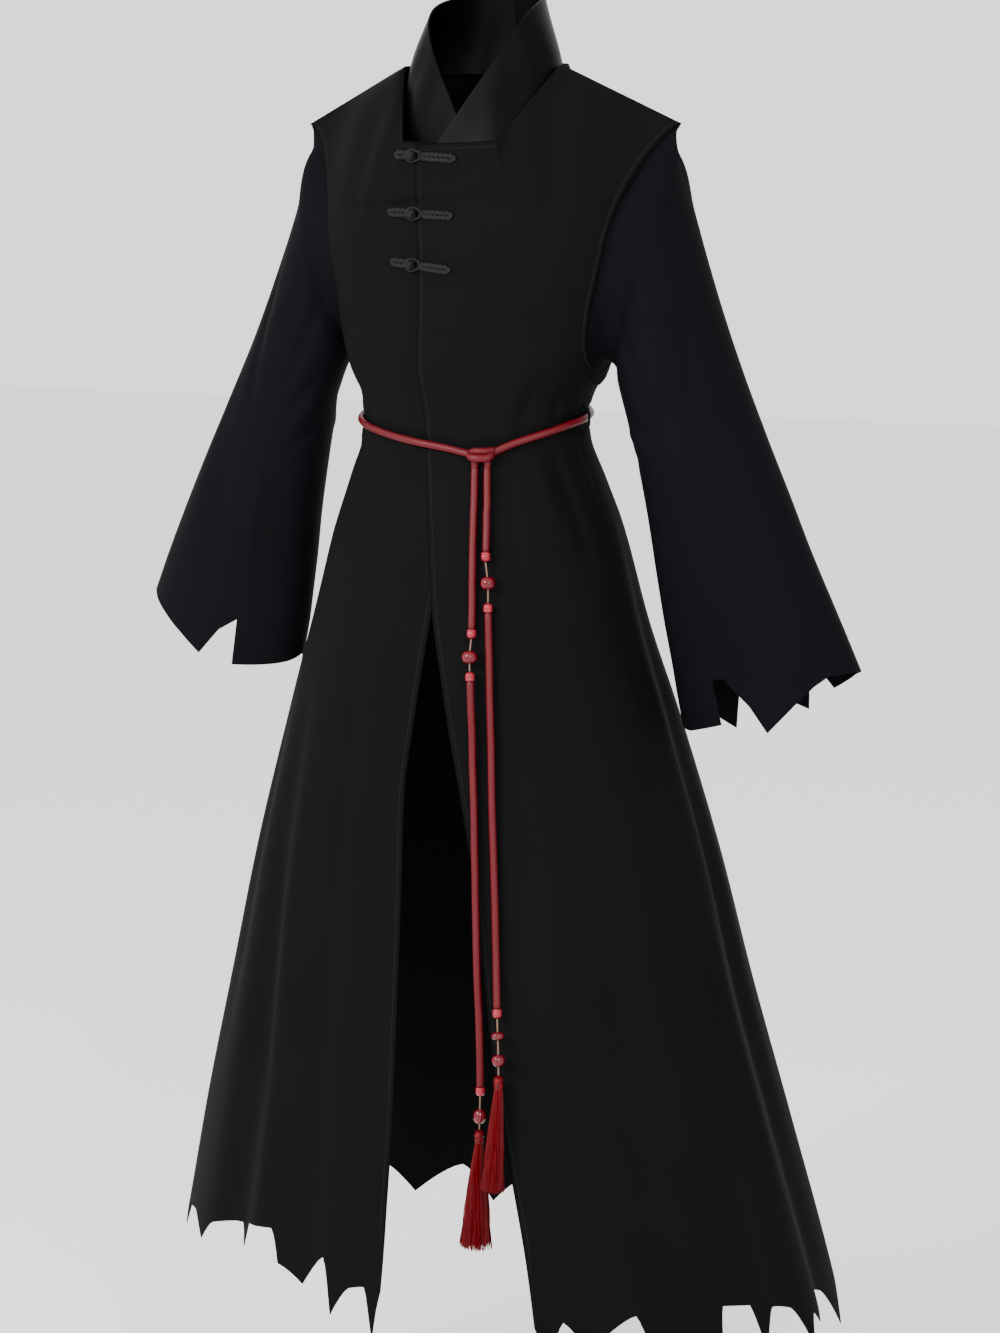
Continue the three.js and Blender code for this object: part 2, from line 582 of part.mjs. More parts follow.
// The armhole's edge as a ring of points: the shoulder tip, down the front, the underarm and up the back.
function armholeRings(front, side) {
  const nearFront = side > 0 ? front.points[0].length - 1 : 0;
  const nearBack = side > 0 ? 0 : back.points[0].length - 1;
  const stations = [];
  for (let r = 0; r < UNDERARM_ROW; r++) stations.push([front, r, nearFront, nearFront - side]);
  for (let r = UNDERARM_ROW; r > 0; r--) stations.push([back, r, nearBack, nearBack + side]);
  const edge = stations.map(([panel, r, c]) => panel.points[r][c].clone());
  const seat = stations.map(([panel, r, , c]) => {
    return panel.points[r][c].clone().addScaledVector(panel.normals[r][c], -WALL.coat - 4 * SEAM);
  });
  const under = -341;
  seat[UNDERARM_ROW] = bodyPoint(90 * side, under)
    .addScaledVector(bodyNormal(90 * side, under), -WALL.coat - 4 * SEAM);
  const centre = edge.reduce((sum, p) => sum.add(p), new THREE.Vector3()).divideScalar(edge.length);
  const mouth = edge.map((p) => p.clone().lerp(centre, 0.1));
  return [seat, mouth];
}

function makeSleeve(front, side) {
  const cuff = side > 0 ? LEFT_CUFF : RIGHT_CUFF;
  const drop = (z) => (side > 0 ? z : SHOULDER_TIP.z + (z - SHOULDER_TIP.z) * RIGHT_SLEEVE_DROP);
  const place = ([x, y, z]) => new THREE.Vector3(side * x, y, drop(z));
  const centreOf = (row) => place(row.outer).add(place(row.inner)).multiplyScalar(0.5);
  const rows = armholeRings(front, side);
  SLEEVE.forEach((row, i) => {
    const centre = centreOf(row);
    const reach = place(row.outer).sub(centre);
    const toCuff = smooth(2, SLEEVE.length - 1, i);
    rows.push(cuff.map((corner, k) => {
      const even = (360 * k) / cuff.length;
      const turn = (even + (corner.turn - even) * toCuff) * RADIANS;
      return centre.clone()
        .addScaledVector(reach, Math.cos(turn))
        .add(new THREE.Vector3(0, -row.depth * Math.sin(turn), 0));
    }));
  });
  const last = SLEEVE.length - 1;
  const down = centreOf(SLEEVE[last]).sub(centreOf(SLEEVE[last - 1])).normalize();
  rows.at(-1).forEach((p, k) => p.addScaledVector(down, cuff[k].drop));
  if (side > 0) rows.forEach((row) => row.reverse());
  const normals = rows.map((row, r) => row.map((p, c) => gridNormal(rows, r, c, true)));
  return wallGeometry(rows, offsetGrid(rows, normals, WALL.sleeve), true);
}

// A collar band. The right one runs behind the left one where they cross.
function makeCollar(side) {
  const crossing = 6;
  const rows = COLLAR_SHARES.map((share) => COLLAR.map(({ upper, lower }, i) => {
    const p = new THREE.Vector3(...upper).lerp(new THREE.Vector3(...lower), share);
    const outward = new THREE.Vector3(p.x, p.y, 0).normalize();
    p.addScaledVector(outward, COLLAR_BULGE * Math.sin(Math.PI * share ** 1.3));
    if (i === 0) p.x = SEAM * 0.9;
    if (side < 0) p.y += (WALL.collar + 9 * SEAM) * smooth(crossing, crossing + 2.5, i);
    p.x *= side;
    return p;
  }));
  if (side > 0) rows.forEach((row) => row.reverse());
  const normals = rows.map((row, r) => row.map((p, c) => gridNormal(rows, r, c)));
  rows.forEach((row, r) => {
    const nape = side > 0 ? row.length - 1 : 0;
    normals[r][nape].setX(0).normalize();
  });
  return wallGeometry(rows, offsetGrid(rows, normals, WALL.collar));
}

function ringShape(radius, sides) {
  const corners = Array.from({ length: sides }, (_, k) => {
    const turn = (2 * Math.PI * k) / sides;
    return new THREE.Vector2(radius * Math.cos(turn), radius * Math.sin(turn));
  });
  return new THREE.Shape(corners);
}

function tube(points, radius, steps, sides = 8) {
  const vectors = points.map((p) => (Array.isArray(p) ? new THREE.Vector3(...p) : p));
  const path = new THREE.CatmullRomCurve3(vectors, false, "centripetal");
  return new THREE.ExtrudeGeometry(ringShape(radius, sides), { steps, extrudePath: path });
}

function weld(geometry) {
  const bare = new THREE.BufferGeometry();
  bare.setAttribute("position", geometry.attributes.position);
  if (geometry.index) bare.setIndex(geometry.index);
  return mergeVertices(bare, 1e-4);
}

function toManifold(geometry) {
  const welded = weld(geometry);
  const mesh = new wasm.Mesh({
    numProp: 3,
    vertProperties: new Float32Array(welded.attributes.position.array),
    triVerts: new Uint32Array(welded.index.array),
  });
  return new wasm.Manifold(mesh);
}

function fuse(geometries) {
  const solids = geometries.map(toManifold);
  const mesh = wasm.Manifold.union(solids).getMesh();
  const geometry = new THREE.BufferGeometry();
  geometry.setAttribute("position", new THREE.Float32BufferAttribute(mesh.vertProperties, 3));
  geometry.setIndex(Array.from(mesh.triVerts));
  return geometry;
}

// Turns a piece made round Z so that its axis follows a direction, and puts it in place.
function stand(geometry, place, direction) {
  const turn = new THREE.Quaternion().setFromUnitVectors(new THREE.Vector3(0, 0, 1), direction);
  return geometry.applyQuaternion(turn).translate(place.x, place.y, place.z);
}

function lathe(profile, segments) {
  const geometry = new THREE.LatheGeometry(profile.map(([r, h]) => new THREE.Vector2(r, h)), segments);
  return geometry.rotateX(Math.PI / 2);
}

function routeEnd(route, atEnd) {
  const [a, b] = atEnd ? [route.at(-2), route.at(-1)] : [route[1], route[0]];
  const end = new THREE.Vector3(...b);
  return { end, direction: end.clone().sub(new THREE.Vector3(...a)).normalize() };
}

// An end cap sits just past a rope's end.
function makeCap(rope, atEnd) {
  const { end, direction } = routeEnd(rope, atEnd);
  const { radius, length } = CAP;
  const profile = [[0, 0], [radius - 0.8, 0], [radius, 1], [radius, length - 3], [radius * 0.5, length], [0, length]];
  return stand(lathe(profile, 12), end.addScaledVector(direction, SEAM), direction);
}

// A bead is a ring round its thread.
function makeBead({ thread, share, radius, halfHeight }) {
  const path = new THREE.CatmullRomCurve3(thread.map((p) => new THREE.Vector3(...p)), false, "centripetal");
  const bore = THREAD_RADIUS + 0.9;
  const profile = [[bore, -halfHeight]];
  for (const turn of [-65, -35, 0, 35, 65]) {
    profile.push([radius * Math.cos(turn * RADIANS) ** 0.8, halfHeight * Math.sin(turn * RADIANS)]);
  }
  profile.push([bore, halfHeight], [bore, -halfHeight]);
  return stand(lathe(profile, 12), path.getPointAt(share), path.getTangentAt(share));
}

// A strand is a thin three-sided prism that leans out from the head as it hangs.
function makeStrand(k, { head, length, spread, lean }) {
  const turn = k * 2.39996;
  const ring = Math.sqrt((k + 0.5) / STRANDS);
  const uneven = 1 - 0.05 * ((k * 7) % 5) / 5;
  const rows = STRAND_SHARES.map((share) => {
    const out = ring * (4 + (spread - 4) * share ** 0.8);
    const z = -head + 3 - (length - head) * uneven * share;
    const half = 0.8 + 0.4 * share;
    return [0, 120, 240].map((corner) => new THREE.Vector3(
      out * Math.cos(turn) + half * Math.cos(corner * RADIANS + turn),
      out * Math.sin(turn) + half * Math.sin(corner * RADIANS + turn) + lean * (z + head),
      z,
    ));
  });
  const positions = rows.flat().flatMap((p) => [p.x, p.y, p.z]);
  const triangles = [0, 2, 1];
  for (let r = 0; r < rows.length - 1; r++) {
    for (let c = 0; c < 3; c++) {
      const [a, b] = [3 * r + c, 3 * r + ((c + 1) % 3)];
      triangles.push(a, b + 3, a + 3, a, b, b + 3);
    }
  }
  const end = 3 * (rows.length - 1);
  triangles.push(end, end + 1, end + 2);
  const geometry = new THREE.BufferGeometry();
  geometry.setAttribute("position", new THREE.Float32BufferAttribute(positions, 3));
  geometry.setIndex(triangles.reverse());
  return geometry;
}

function makeTassel(size) {
  const { top, head } = size;
  const profile = [
    [0, -head], [4.9, -head], [5.3, -head + 2], [4.6, -head + 3], [4.6, -head + 6], [5.6, -head + 8],
    [5.2, -3], [3, -0.6], [0, 0],
  ];
  const strands = Array.from({ length: STRANDS }, (_, k) => makeStrand(k, size));
  return fuse([lathe(profile, 12), ...strands]).translate(...top);
}

// The outer surface of a front at a place seen from the front.
function frontDepth(panel, x, z) {
  const { points } = panel;
  for (let r = 0; r < points.length - 1; r++) {
    for (let c = 0; c < points[0].length - 1; c++) {
      const [a, b, d, e] = [points[r][c], points[r + 1][c], points[r + 1][c + 1], points[r][c + 1]];
      for (const [p, q, s] of [[a, b, d], [a, d, e]]) {
        const area = (q.x - p.x) * (s.z - p.z) - (s.x - p.x) * (q.z - p.z);
        const u = ((x - p.x) * (s.z - p.z) - (s.x - p.x) * (z - p.z)) / area;
        const v = ((q.x - p.x) * (z - p.z) - (x - p.x) * (q.z - p.z)) / area;
        if (u >= -1e-6 && v >= -1e-6 && u + v <= 1 + 1e-6) return p.y + u * (q.y - p.y) + v * (s.y - p.y);
      }
    }
  }
  throw new Error(`no cloth at ${x}, ${z}`);
}

// One half of a frog: two cords side by side, laid along a panel from the closure to a round end.
function makeWing(panel, fromX, toX, zAt) {
  const shares = [0, 0.35, 0.72, 0.9, 1];
  const across = [-1, -0.6, -0.1, 0.1, 0.6, 1];
  const outer = [];
  const inner = [];
  for (const w of across) {
    const outerRow = [];
    const innerRow = [];
    for (const share of shares) {
      const x = fromX + (toX - fromX) * share;
      const narrow = share > 0.9 ? 0.55 + 0.45 * (1 - share) / 0.1 : 1;
      const z = zAt(x) - w * FROG.halfHeight * Math.min(narrow, 1);
      const y = frontDepth(panel, x, z) - FROG.clear;
      const height = 0.9 + FROG.cord * Math.max(0, Math.sin(Math.PI * Math.abs(w))) ** 0.5;
      outerRow.push(new THREE.Vector3(x, y - height, z));
      innerRow.push(new THREE.Vector3(x, y, z));
    }
    outer.push(outerRow);
    inner.push(innerRow);
  }
  if (toX < fromX) [outer, inner].forEach((grid) => grid.forEach((row) => row.reverse()));
  return wallGeometry(outer, inner);
}

function makeFrog(frog) {
  const zAt = (x) => frog.z - (frog.sink * (x - frog.knot)) / (frog.leftEnd - frog.knot);
  const lapY = frontDepth(frontRight, frog.knot, frog.z);
  const loopY = frontDepth(frontLeft, frog.knot + 7.5, frog.z) - FROG.loopCord - 7 * SEAM;
  const shank = new THREE.CylinderGeometry(2, 2, 7, 8).translate(frog.knot, lapY - 4.2, frog.z);
  const ball = new THREE.SphereGeometry(FROG.ball, 8, 6).translate(frog.knot, lapY - 9.2, frog.z);
  const knotWing = makeWing(frontRight, frog.knot + 3, frog.rightEnd, zAt);
  const start = frog.knot + 8;
  const loopPoints = [[start + 3, 3.6], [start - 3, 5.4], [frog.knot, 6.4], [frog.knot - 5, 3.8], [frog.knot - 6.6, 0]];
  const bend = [...loopPoints, ...loopPoints.slice(0, -1).reverse().map(([x, z]) => [x, -z])];
  const loop = tube(bend.map(([x, z]) => [x, loopY, frog.z + z]), FROG.loopCord, 12, 6);
  const loopWing = makeWing(frontLeft, start, frog.leftEnd, zAt);
  return { knot: fuse([knotWing, shank, ball]), loop: fuse([loopWing, loop]) };
}

function beltPoint(angle, z, clear) {
  const normal = bodyNormal(angle, z).setZ(0).normalize();
  return bodyPoint(angle, z).addScaledVector(normal, ROPE_RADIUS + clear);
}

// The knot: each side of the belt turns down, and a turn of rope crosses in front of both.
function makeKnot() {
  const outward = bodyNormal(KNOT_ANGLE, KNOT.z).setZ(0).normalize();
  const across = new THREE.Vector3(-outward.y, outward.x, 0);
  const local = (x, up, out) => KNOT.clone().addScaledVector(across, x).addScaledVector(outward, out)
    .add(new THREE.Vector3(0, 0, up));
  const leftSide = [local(-14.5, 2, -0.4), local(-10.5, 1.6, 0), local(-7.2, -2, 0.4), local(-6.7, -11, 0)];
  const rightSide = [local(14.5, 4.2, -0.4), local(10.5, 3, 0), local(7.2, -2, 0.4), local(6.7, -11, 0)];
  const turn = [local(-9.5, 1, -0.5), local(-10, 0.6, 4), local(-5, 0, 7.4), local(3, -0.4, 7.8),
    local(9, 0.4, 5), local(10.5, 1.6, 0.5)];
  return fuse([tube(leftSide, ROPE_RADIUS, 7), tube(rightSide, ROPE_RADIUS, 7), tube(turn, ROPE_RADIUS, 9)]);
}

// A bar of cloth at the side seam that stands over the rope.
function makeBeltLoop(side) {
  const angle = 90 * side;
  const z = readRow([...BELT].map(([at, height]) => ({ z: -at, height })), "height", side > 0 ? -90 : -270);
  const outline = [[1, 17], [3, 17], [9, 13], [12.2, 6], [12.2, -6], [9, -13], [3, -17], [1, -17],
    [1, -15.6], [2.6, -15.6], [8, -12], [11, -5.4], [11, 5.4], [8, 12], [2.6, 15.6], [1, 15.6]];
  const flare = (up) => Math.abs(bodyPoint(angle, z + up).x) - Math.abs(bodyPoint(angle, z).x);
  const foot = (out, up) => (Math.abs(up) > 14 ? out + flare(up) + 1.4 : out);
  const shape = new THREE.Shape(outline.map(([out, up]) => new THREE.Vector2(side * foot(out, up), up)));
  const bar = new THREE.ExtrudeGeometry(shape, { depth: 5, bevelEnabled: false });
  const seat = bodyPoint(angle, z);
  return bar.rotateX(Math.PI / 2).translate(seat.x, seat.y + 2.5, z);
}

const group = new THREE.Group();

function addPart(name, geometry, material) {
  const mesh = new THREE.Mesh(geometry, new THREE.MeshStandardMaterial(MATERIALS[material]));
  mesh.name = name;
  group.add(mesh);
}

const frontLeft = makeFront("left");
const frontRight = makeFront("right");
tuckUnder(frontRight, WALL.coat + 5 * SEAM);
const back = makeBack();
for (const [name, panel] of Object.entries({ front_left: frontLeft, front_right: frontRight, back })) {
  const [upper, skirt] = panelParts(panel);
  addPart(name, upper, "coat");
  addPart(`${name}_skirt`, skirt, "coat");
}
addPart("sleeve_left", makeSleeve(frontLeft, 1), "sleeve");
addPart("sleeve_right", makeSleeve(frontRight, -1), "sleeve");
addPart("collar_left", makeCollar(1), "collar");
addPart("collar_right", makeCollar(-1), "collar");

FROGS.forEach((frog, i) => {
  const { knot, loop } = makeFrog(frog);
  addPart(`frog_${i + 1}_knot`, knot, "braid");
  addPart(`frog_${i + 1}_loop`, loop, "braid");
});

addPart("belt_loop_left", makeBeltLoop(1), "coat");
addPart("belt_loop_right", makeBeltLoop(-1), "coat");
const beltPoints = BELT.map(([angle, z]) => beltPoint(angle, z, BELT_CLEAR));
addPart("belt_rope", tube(beltPoints, ROPE_RADIUS, 42), "rope");
addPart("belt_knot", makeKnot(), "rope");
addPart("rope_a_upper", tube(ROPE_A_UPPER, ROPE_RADIUS, 5), "rope");
addPart("rope_a_lower", tube(ROPE_A_LOWER, ROPE_RADIUS, 20), "rope");
addPart("rope_b_upper", tube(ROPE_B_UPPER, ROPE_RADIUS, 8), "rope");
addPart("rope_b_lower", tube(ROPE_B_LOWER, ROPE_RADIUS, 20), "rope");
addPart("thread_a_upper", tube(THREAD_A_UPPER, THREAD_RADIUS, 4), "thread");
addPart("thread_a_lower", tube(THREAD_A_LOWER, THREAD_RADIUS, 4), "thread");
addPart("thread_b_upper", tube(THREAD_B_UPPER, THREAD_RADIUS, 4), "thread");
addPart("thread_b_lower", tube(THREAD_B_LOWER, THREAD_RADIUS, 4), "thread");

const CAPS = {
  cap_a_1: [ROPE_A_UPPER, true],
  cap_a_2: [ROPE_A_LOWER, false],
  cap_a_3: [ROPE_A_LOWER, true],
  cap_b_1: [ROPE_B_UPPER, true],
  cap_b_2: [ROPE_B_LOWER, false],
  cap_b_3: [ROPE_B_LOWER, true],
};
for (const [name, [rope, atEnd]] of Object.entries(CAPS)) addPart(name, makeCap(rope, atEnd), "bead");
for (const [name, bead] of Object.entries(BEADS)) addPart(name, makeBead(bead), "bead");
for (const [name, tassel] of Object.entries(TASSELS)) addPart(name, makeTassel(tassel), "tassel");

export default group;
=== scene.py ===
# %% [markdown]
# # A black kimono coat with a red rope belt
#
# A long sleeveless coat is worn over a crossed collar and wide sleeves, and a rope is tied round the waist.
# The plain solids give every piece its place and size. Here each one is replaced by a finer surface: the
# cloth is a thin shell with folds, creases and stitches, the rope has its braid, and tassels have threads.

import bpy
import numpy as np
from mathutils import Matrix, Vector


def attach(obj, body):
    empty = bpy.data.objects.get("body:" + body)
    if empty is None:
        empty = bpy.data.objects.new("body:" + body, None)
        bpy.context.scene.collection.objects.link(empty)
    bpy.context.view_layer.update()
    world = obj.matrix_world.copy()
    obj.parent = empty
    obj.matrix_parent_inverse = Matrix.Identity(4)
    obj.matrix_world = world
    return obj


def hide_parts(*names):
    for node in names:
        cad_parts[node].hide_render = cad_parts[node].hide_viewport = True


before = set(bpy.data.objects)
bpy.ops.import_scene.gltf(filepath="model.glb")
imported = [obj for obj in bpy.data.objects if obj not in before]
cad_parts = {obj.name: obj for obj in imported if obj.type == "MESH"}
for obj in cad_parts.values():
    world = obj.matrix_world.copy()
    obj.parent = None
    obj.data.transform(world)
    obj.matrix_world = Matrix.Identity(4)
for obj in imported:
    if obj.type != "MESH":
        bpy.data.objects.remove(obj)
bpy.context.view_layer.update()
MM = 0.001

# %% [markdown]
# ## Camera
#
# The picture is taken from the wearer's left, a little above the waist, with a long lens. A long lens keeps
# the outline close to the cut of the coat, because near and far parts are drawn at nearly one scale.

# %% Camera
LOOK_AT = Vector((0.012, 0.0, -0.6575))
CAMERA_TURN, CAMERA_HEIGHT = np.radians(27.5), np.radians(9.0)
CAMERA_DISTANCE = 3.7
SENSOR_MM, LENS_MM = 36, 89.9

camera_data = bpy.data.cameras.new("camera")
camera = bpy.data.objects.new("camera", camera_data)
bpy.context.scene.collection.objects.link(camera)
bpy.context.scene.camera = camera
towards_camera = Vector((
    np.sin(CAMERA_TURN) * np.cos(CAMERA_HEIGHT),
    -np.cos(CAMERA_TURN) * np.cos(CAMERA_HEIGHT),
    np.sin(CAMERA_HEIGHT),
))
camera.location = LOOK_AT + CAMERA_DISTANCE * towards_camera
camera.rotation_euler = (-towards_camera).to_track_quat("-Z", "Y").to_euler()
camera_data.sensor_width = SENSOR_MM
camera_data.lens = LENS_MM
print("camera stands", CAMERA_DISTANCE, "m away with a", LENS_MM, "mm lens")

# %% [markdown]
# ## Small tools
#
# Colours are written as they look on a screen and turned to linear light once. A material is a chain of
# nodes, so there is a small function for each kind of node that recurs, which returns its result.

# %% Colour and node tools
def linear(code):
    """Turns an sRGB hex colour into linear red, green, blue and alpha."""
    srgb = np.array([int(code[i:i + 2], 16) for i in (1, 3, 5)]) / 255
    flat = np.where(srgb <= 0.04045, srgb / 12.92, ((srgb + 0.055) / 1.055) ** 2.4)
    return (*flat, 1.0)


def feed(tree, node, inputs):
    """Gives a node's inputs, by name or number, their values or the sockets that feed them."""
    for name, value in inputs.items():
        if isinstance(value, bpy.types.NodeSocket):
            tree.links.new(value, node.inputs[name])
        else:
            node.inputs[name].default_value = value


def add(tree, kind, inputs=None, **settings):
    """Adds a node with its own settings and its inputs."""
    node = tree.nodes.new("ShaderNode" + kind)
    for name, value in settings.items():
        setattr(node, name, value)
    feed(tree, node, inputs or {})
    return node


def work_out(tree, operation, *values):
    """The result of a math node."""
    return add(tree, "Math", dict(enumerate(values)), operation=operation).outputs[0]


def mix(tree, share, one, two, how="MIX"):
    """A colour between two others, or their product for MULTIPLY."""
    return add(tree, "Mix", {0: share, 6: one, 7: two}, data_type="RGBA", blend_type=how).outputs[2]


def rescale(tree, value, low, high, start=0.0, end=1.0, how="LINEAR"):
    """Maps a value that runs from start to end onto low to high, straight or as a soft step."""
    inputs = {"Value": value, 1: start, 2: end, 3: low, 4: high}
    return add(tree, "MapRange", inputs, interpolation_type=how).outputs[0]


def noise(tree, vector, scale, detail=2.0):
    """Soft random clouds between 0 and 1."""
    return add(tree, "TexNoise", {"Vector": vector, "Scale": scale, "Detail": detail}).outputs["Fac"]


def bands(tree, vector, scale, **more):
    """Slanting bands between 0 and 1."""
    inputs = {"Vector": vector, "Scale": scale, **more}
    return add(tree, "TexWave", inputs, bands_direction="DIAGONAL").outputs["Fac"]


def bump(tree, strength, relief_mm, height, **more):
    """The surface's normals, tilted by a height."""
    inputs = {"Strength": strength, "Distance": relief_mm * MM, "Height": height, **more}
    return add(tree, "Bump", inputs).outputs[0]


def new_material(name):
    """Returns a material, its node tree and its shader."""
    material = bpy.data.materials.new(name)
    material.use_nodes = True
    tree = material.node_tree
    return material, tree, tree.nodes["Principled BSDF"]


# %% [markdown]
# A surface is a set of points in millimetres, arrays of faces and places on the texture. Surfaces come from
# grids of points, whose numbers are laid out in a grid as well, so that faces are found by shifting it.

# %% Mesh tools
SHARP_ANGLE = 40
HEM_ROWS = 15
EDGE_MARKS = ("edge_mm", "along_mm")


def smooth(a, b, x):
    """A soft step from 0 at a to 1 at b: t squared times (3 - 2t)."""
    t = np.clip((x - a) / (b - a), 0, 1)
    return t * t * (3 - 2 * t)


def unit(v):
    """Vectors of length 1."""
    return v / np.maximum(np.linalg.norm(v, axis=-1, keepdims=True), 1e-9)


def travelled(line):
    """The distance along a line of points, from 0 at its start."""
    return np.r_[0, np.cumsum(np.linalg.norm(np.diff(line, axis=0), axis=-1))]


def make_piece(name, nodes, slot, material, surface, marks=None, sharp=SHARP_ANGLE):
    """Makes a smooth-shaded mesh that stands in for some nodes. Marks are numbers at its points."""
    points, faces, uv = surface
    mesh = bpy.data.meshes.new(name)
    corners = np.concatenate([kind.ravel() for kind in faces])
    sizes = np.concatenate([np.full(len(kind), kind.shape[1]) for kind in faces])
    mesh.vertices.add(len(points))
    mesh.vertices.foreach_set("co", (points * MM).ravel())
    mesh.loops.add(len(corners))
    mesh.loops.foreach_set("vertex_index", corners.astype(np.int32))
    mesh.polygons.add(len(sizes))
    mesh.polygons.foreach_set("loop_start", np.r_[0, np.cumsum(sizes)[:-1]].astype(np.int32))
    mesh.polygons.foreach_set("loop_total", sizes.astype(np.int32))
    mesh.update(calc_edges=True)
    mesh.uv_layers.new(name="surface").data.foreach_set("uv", uv[corners].ravel())
    for mark, values in (marks or {}).items():
        mesh.attributes.new(mark, "FLOAT", "POINT").data.foreach_set("value", values)
    mesh.polygons.foreach_set("use_smooth", np.ones(len(sizes), bool))
    mesh.set_sharp_from_angle(angle=np.radians(sharp))
    mesh.validate()
    mesh.materials.append(material)
    piece = bpy.data.objects.new(name, mesh)
    bpy.context.scene.collection.objects.link(piece)
    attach(piece, "root")
    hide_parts(*nodes)
    return piece


def join(surfaces):
    """Puts several surfaces together as one."""
    starts = np.cumsum([0] + [len(points) for points, _, _ in surfaces])
    faces = [kind + start for (_, kinds, _), start in zip(surfaces, starts) for kind in kinds]
    return np.concatenate([s[0] for s in surfaces]), faces, np.concatenate([s[2] for s in surfaces])


def numbers(rows, columns, ring=False):
    """The numbers of a grid's points. A ring has its first column again at the end."""
    index = np.arange(rows * columns).reshape(rows, columns)
    return np.hstack([index, index[:, :1]]) if ring else index


def quads(index):
    """Quads between the neighbours of a grid of point numbers."""
    return np.stack([index[:-1, :-1], index[1:, :-1], index[1:, 1:], index[:-1, 1:]], -1).reshape(-1, 4)


def fan(centre, ring):
    """Triangles from a centre to each pair of neighbours of a ring of point numbers."""
    return np.stack([np.full(len(ring) - 1, centre), ring[:-1], ring[1:]], 1)


def grid_normals(grid, ring=False):
    """Unit normals of a grid of points: the way down the rows crossed with the way along the columns."""
    across = np.roll(grid, -1, axis=1) - np.roll(grid, 1, axis=1) if ring else np.gradient(grid, axis=1)
    return unit(np.cross(np.gradient(grid, axis=0), across))


def grid_lengths(grid):
    """Distances over the cloth, in metres: across from the middle column, and down from the top row."""
    across = np.pad(np.cumsum(np.linalg.norm(np.diff(grid, axis=1), axis=-1), axis=1), ((0, 0), (1, 0)))
    across = across - across[:, across.shape[1] // 2, None]
    down = np.pad(np.cumsum(np.linalg.norm(np.diff(grid, axis=0), axis=-1), axis=0), ((1, 0), (0, 0)))
    return np.stack([across, down], -1) * MM


def make_shell(name, nodes, slot, material, outer, thickness, marks, ring=False):
    """A closed thin wall: the outer grid, the same grid moved in along its normals, and rims between.

    Returns the piece and the area of its outer side in square metres.
    """
    inner = outer - grid_normals(outer, ring) * thickness
    index = numbers(*outer.shape[:2], ring)
    count = outer.shape[0] * outer.shape[1]
    borders = [index[0], index[-1, ::-1]]
    if not ring:
        borders += [index[::-1, 0], index[:, -1]]
    rims = [np.stack([line[:-1], line[1:], line[1:] + count, line[:-1] + count], 1) for line in borders]
    faces = np.concatenate([quads(index), (quads(index) + count)[:, ::-1], *rims])
    lengths = grid_lengths(outer)
    uv = np.tile(lengths.reshape(-1, 2), (2, 1))
    both = {mark: np.tile(values.ravel(), 2) for mark, values in marks.items()}
    walls = np.concatenate([outer.reshape(-1, 3), inner.reshape(-1, 3)])
    piece = make_piece(name, nodes, slot, material, (walls, [faces], uv), both)
    cells = np.linalg.norm(np.cross(np.diff(outer, axis=0)[:, :-1], np.diff(outer, axis=1)[:-1]), axis=-1)
    area = cells.sum() * MM * MM
    width = (lengths[:-HEM_ROWS, -1, 0] - lengths[:-HEM_ROWS, 0, 0]).max()
    print(f"{name}: {len(faces) * 2} triangles, {area:.3f} square metres of cloth, "
          f"at most {width:.3f} m wide and {lengths[-1, :, 1].max():.3f} m long")
    return piece, round(float(area), 3)


# %% [markdown]
# Curves pass through a few given points. Cords are tubes along such a curve, and turned pieces are profiles
# that go round an axis.

# %% Curve tools
def hermite(p0, m0, p1, m1, t):
    """A cubic from p0 to p1 that leaves along m0 and arrives along m1."""
    t2, t3 = t * t, t * t * t
    return (2 * t3 - 3 * t2 + 1) * p0 + (t3 - 2 * t2 + t) * m0 + (3 * t2 - 2 * t3) * p1 + (t3 - t2) * m1


def catmull_rom(points, count):
    """A smooth curve through rows of points: even steps of distance, four neighbours weighed at each."""
    points = np.asarray(points, float)
    gaps = np.linalg.norm(np.diff(points, axis=0), axis=-1)
    gaps = gaps.reshape(len(gaps), -1).mean(axis=1)
    knots = np.r_[0, np.cumsum(gaps)]
    where = np.linspace(0, knots[-1], count)
    last = len(points) - 1
    i = np.clip(np.searchsorted(knots, where, side="right") - 1, 0, last - 1)
    shape = (-1,) + (1,) * (points.ndim - 1)
    t = ((where - knots[i]) / gaps[i]).reshape(shape)
    before, after = np.maximum(i - 1, 0), np.minimum(i + 2, last)
    span = gaps[i].reshape(shape)
    leave = (points[i + 1] - points[before]) / (knots[i + 1] - knots[before]).reshape(shape) * span
    arrive = (points[after] - points[i]) / (knots[after] - knots[i]).reshape(shape) * span
    return hermite(points[i], leave, points[i + 1], arrive, t)


def fine_line(route, step):
    """A smooth line through a route, with a point for each step of its length."""
    return catmull_rom(route, max(int(travelled(np.array(route, float))[-1] / step), 8))


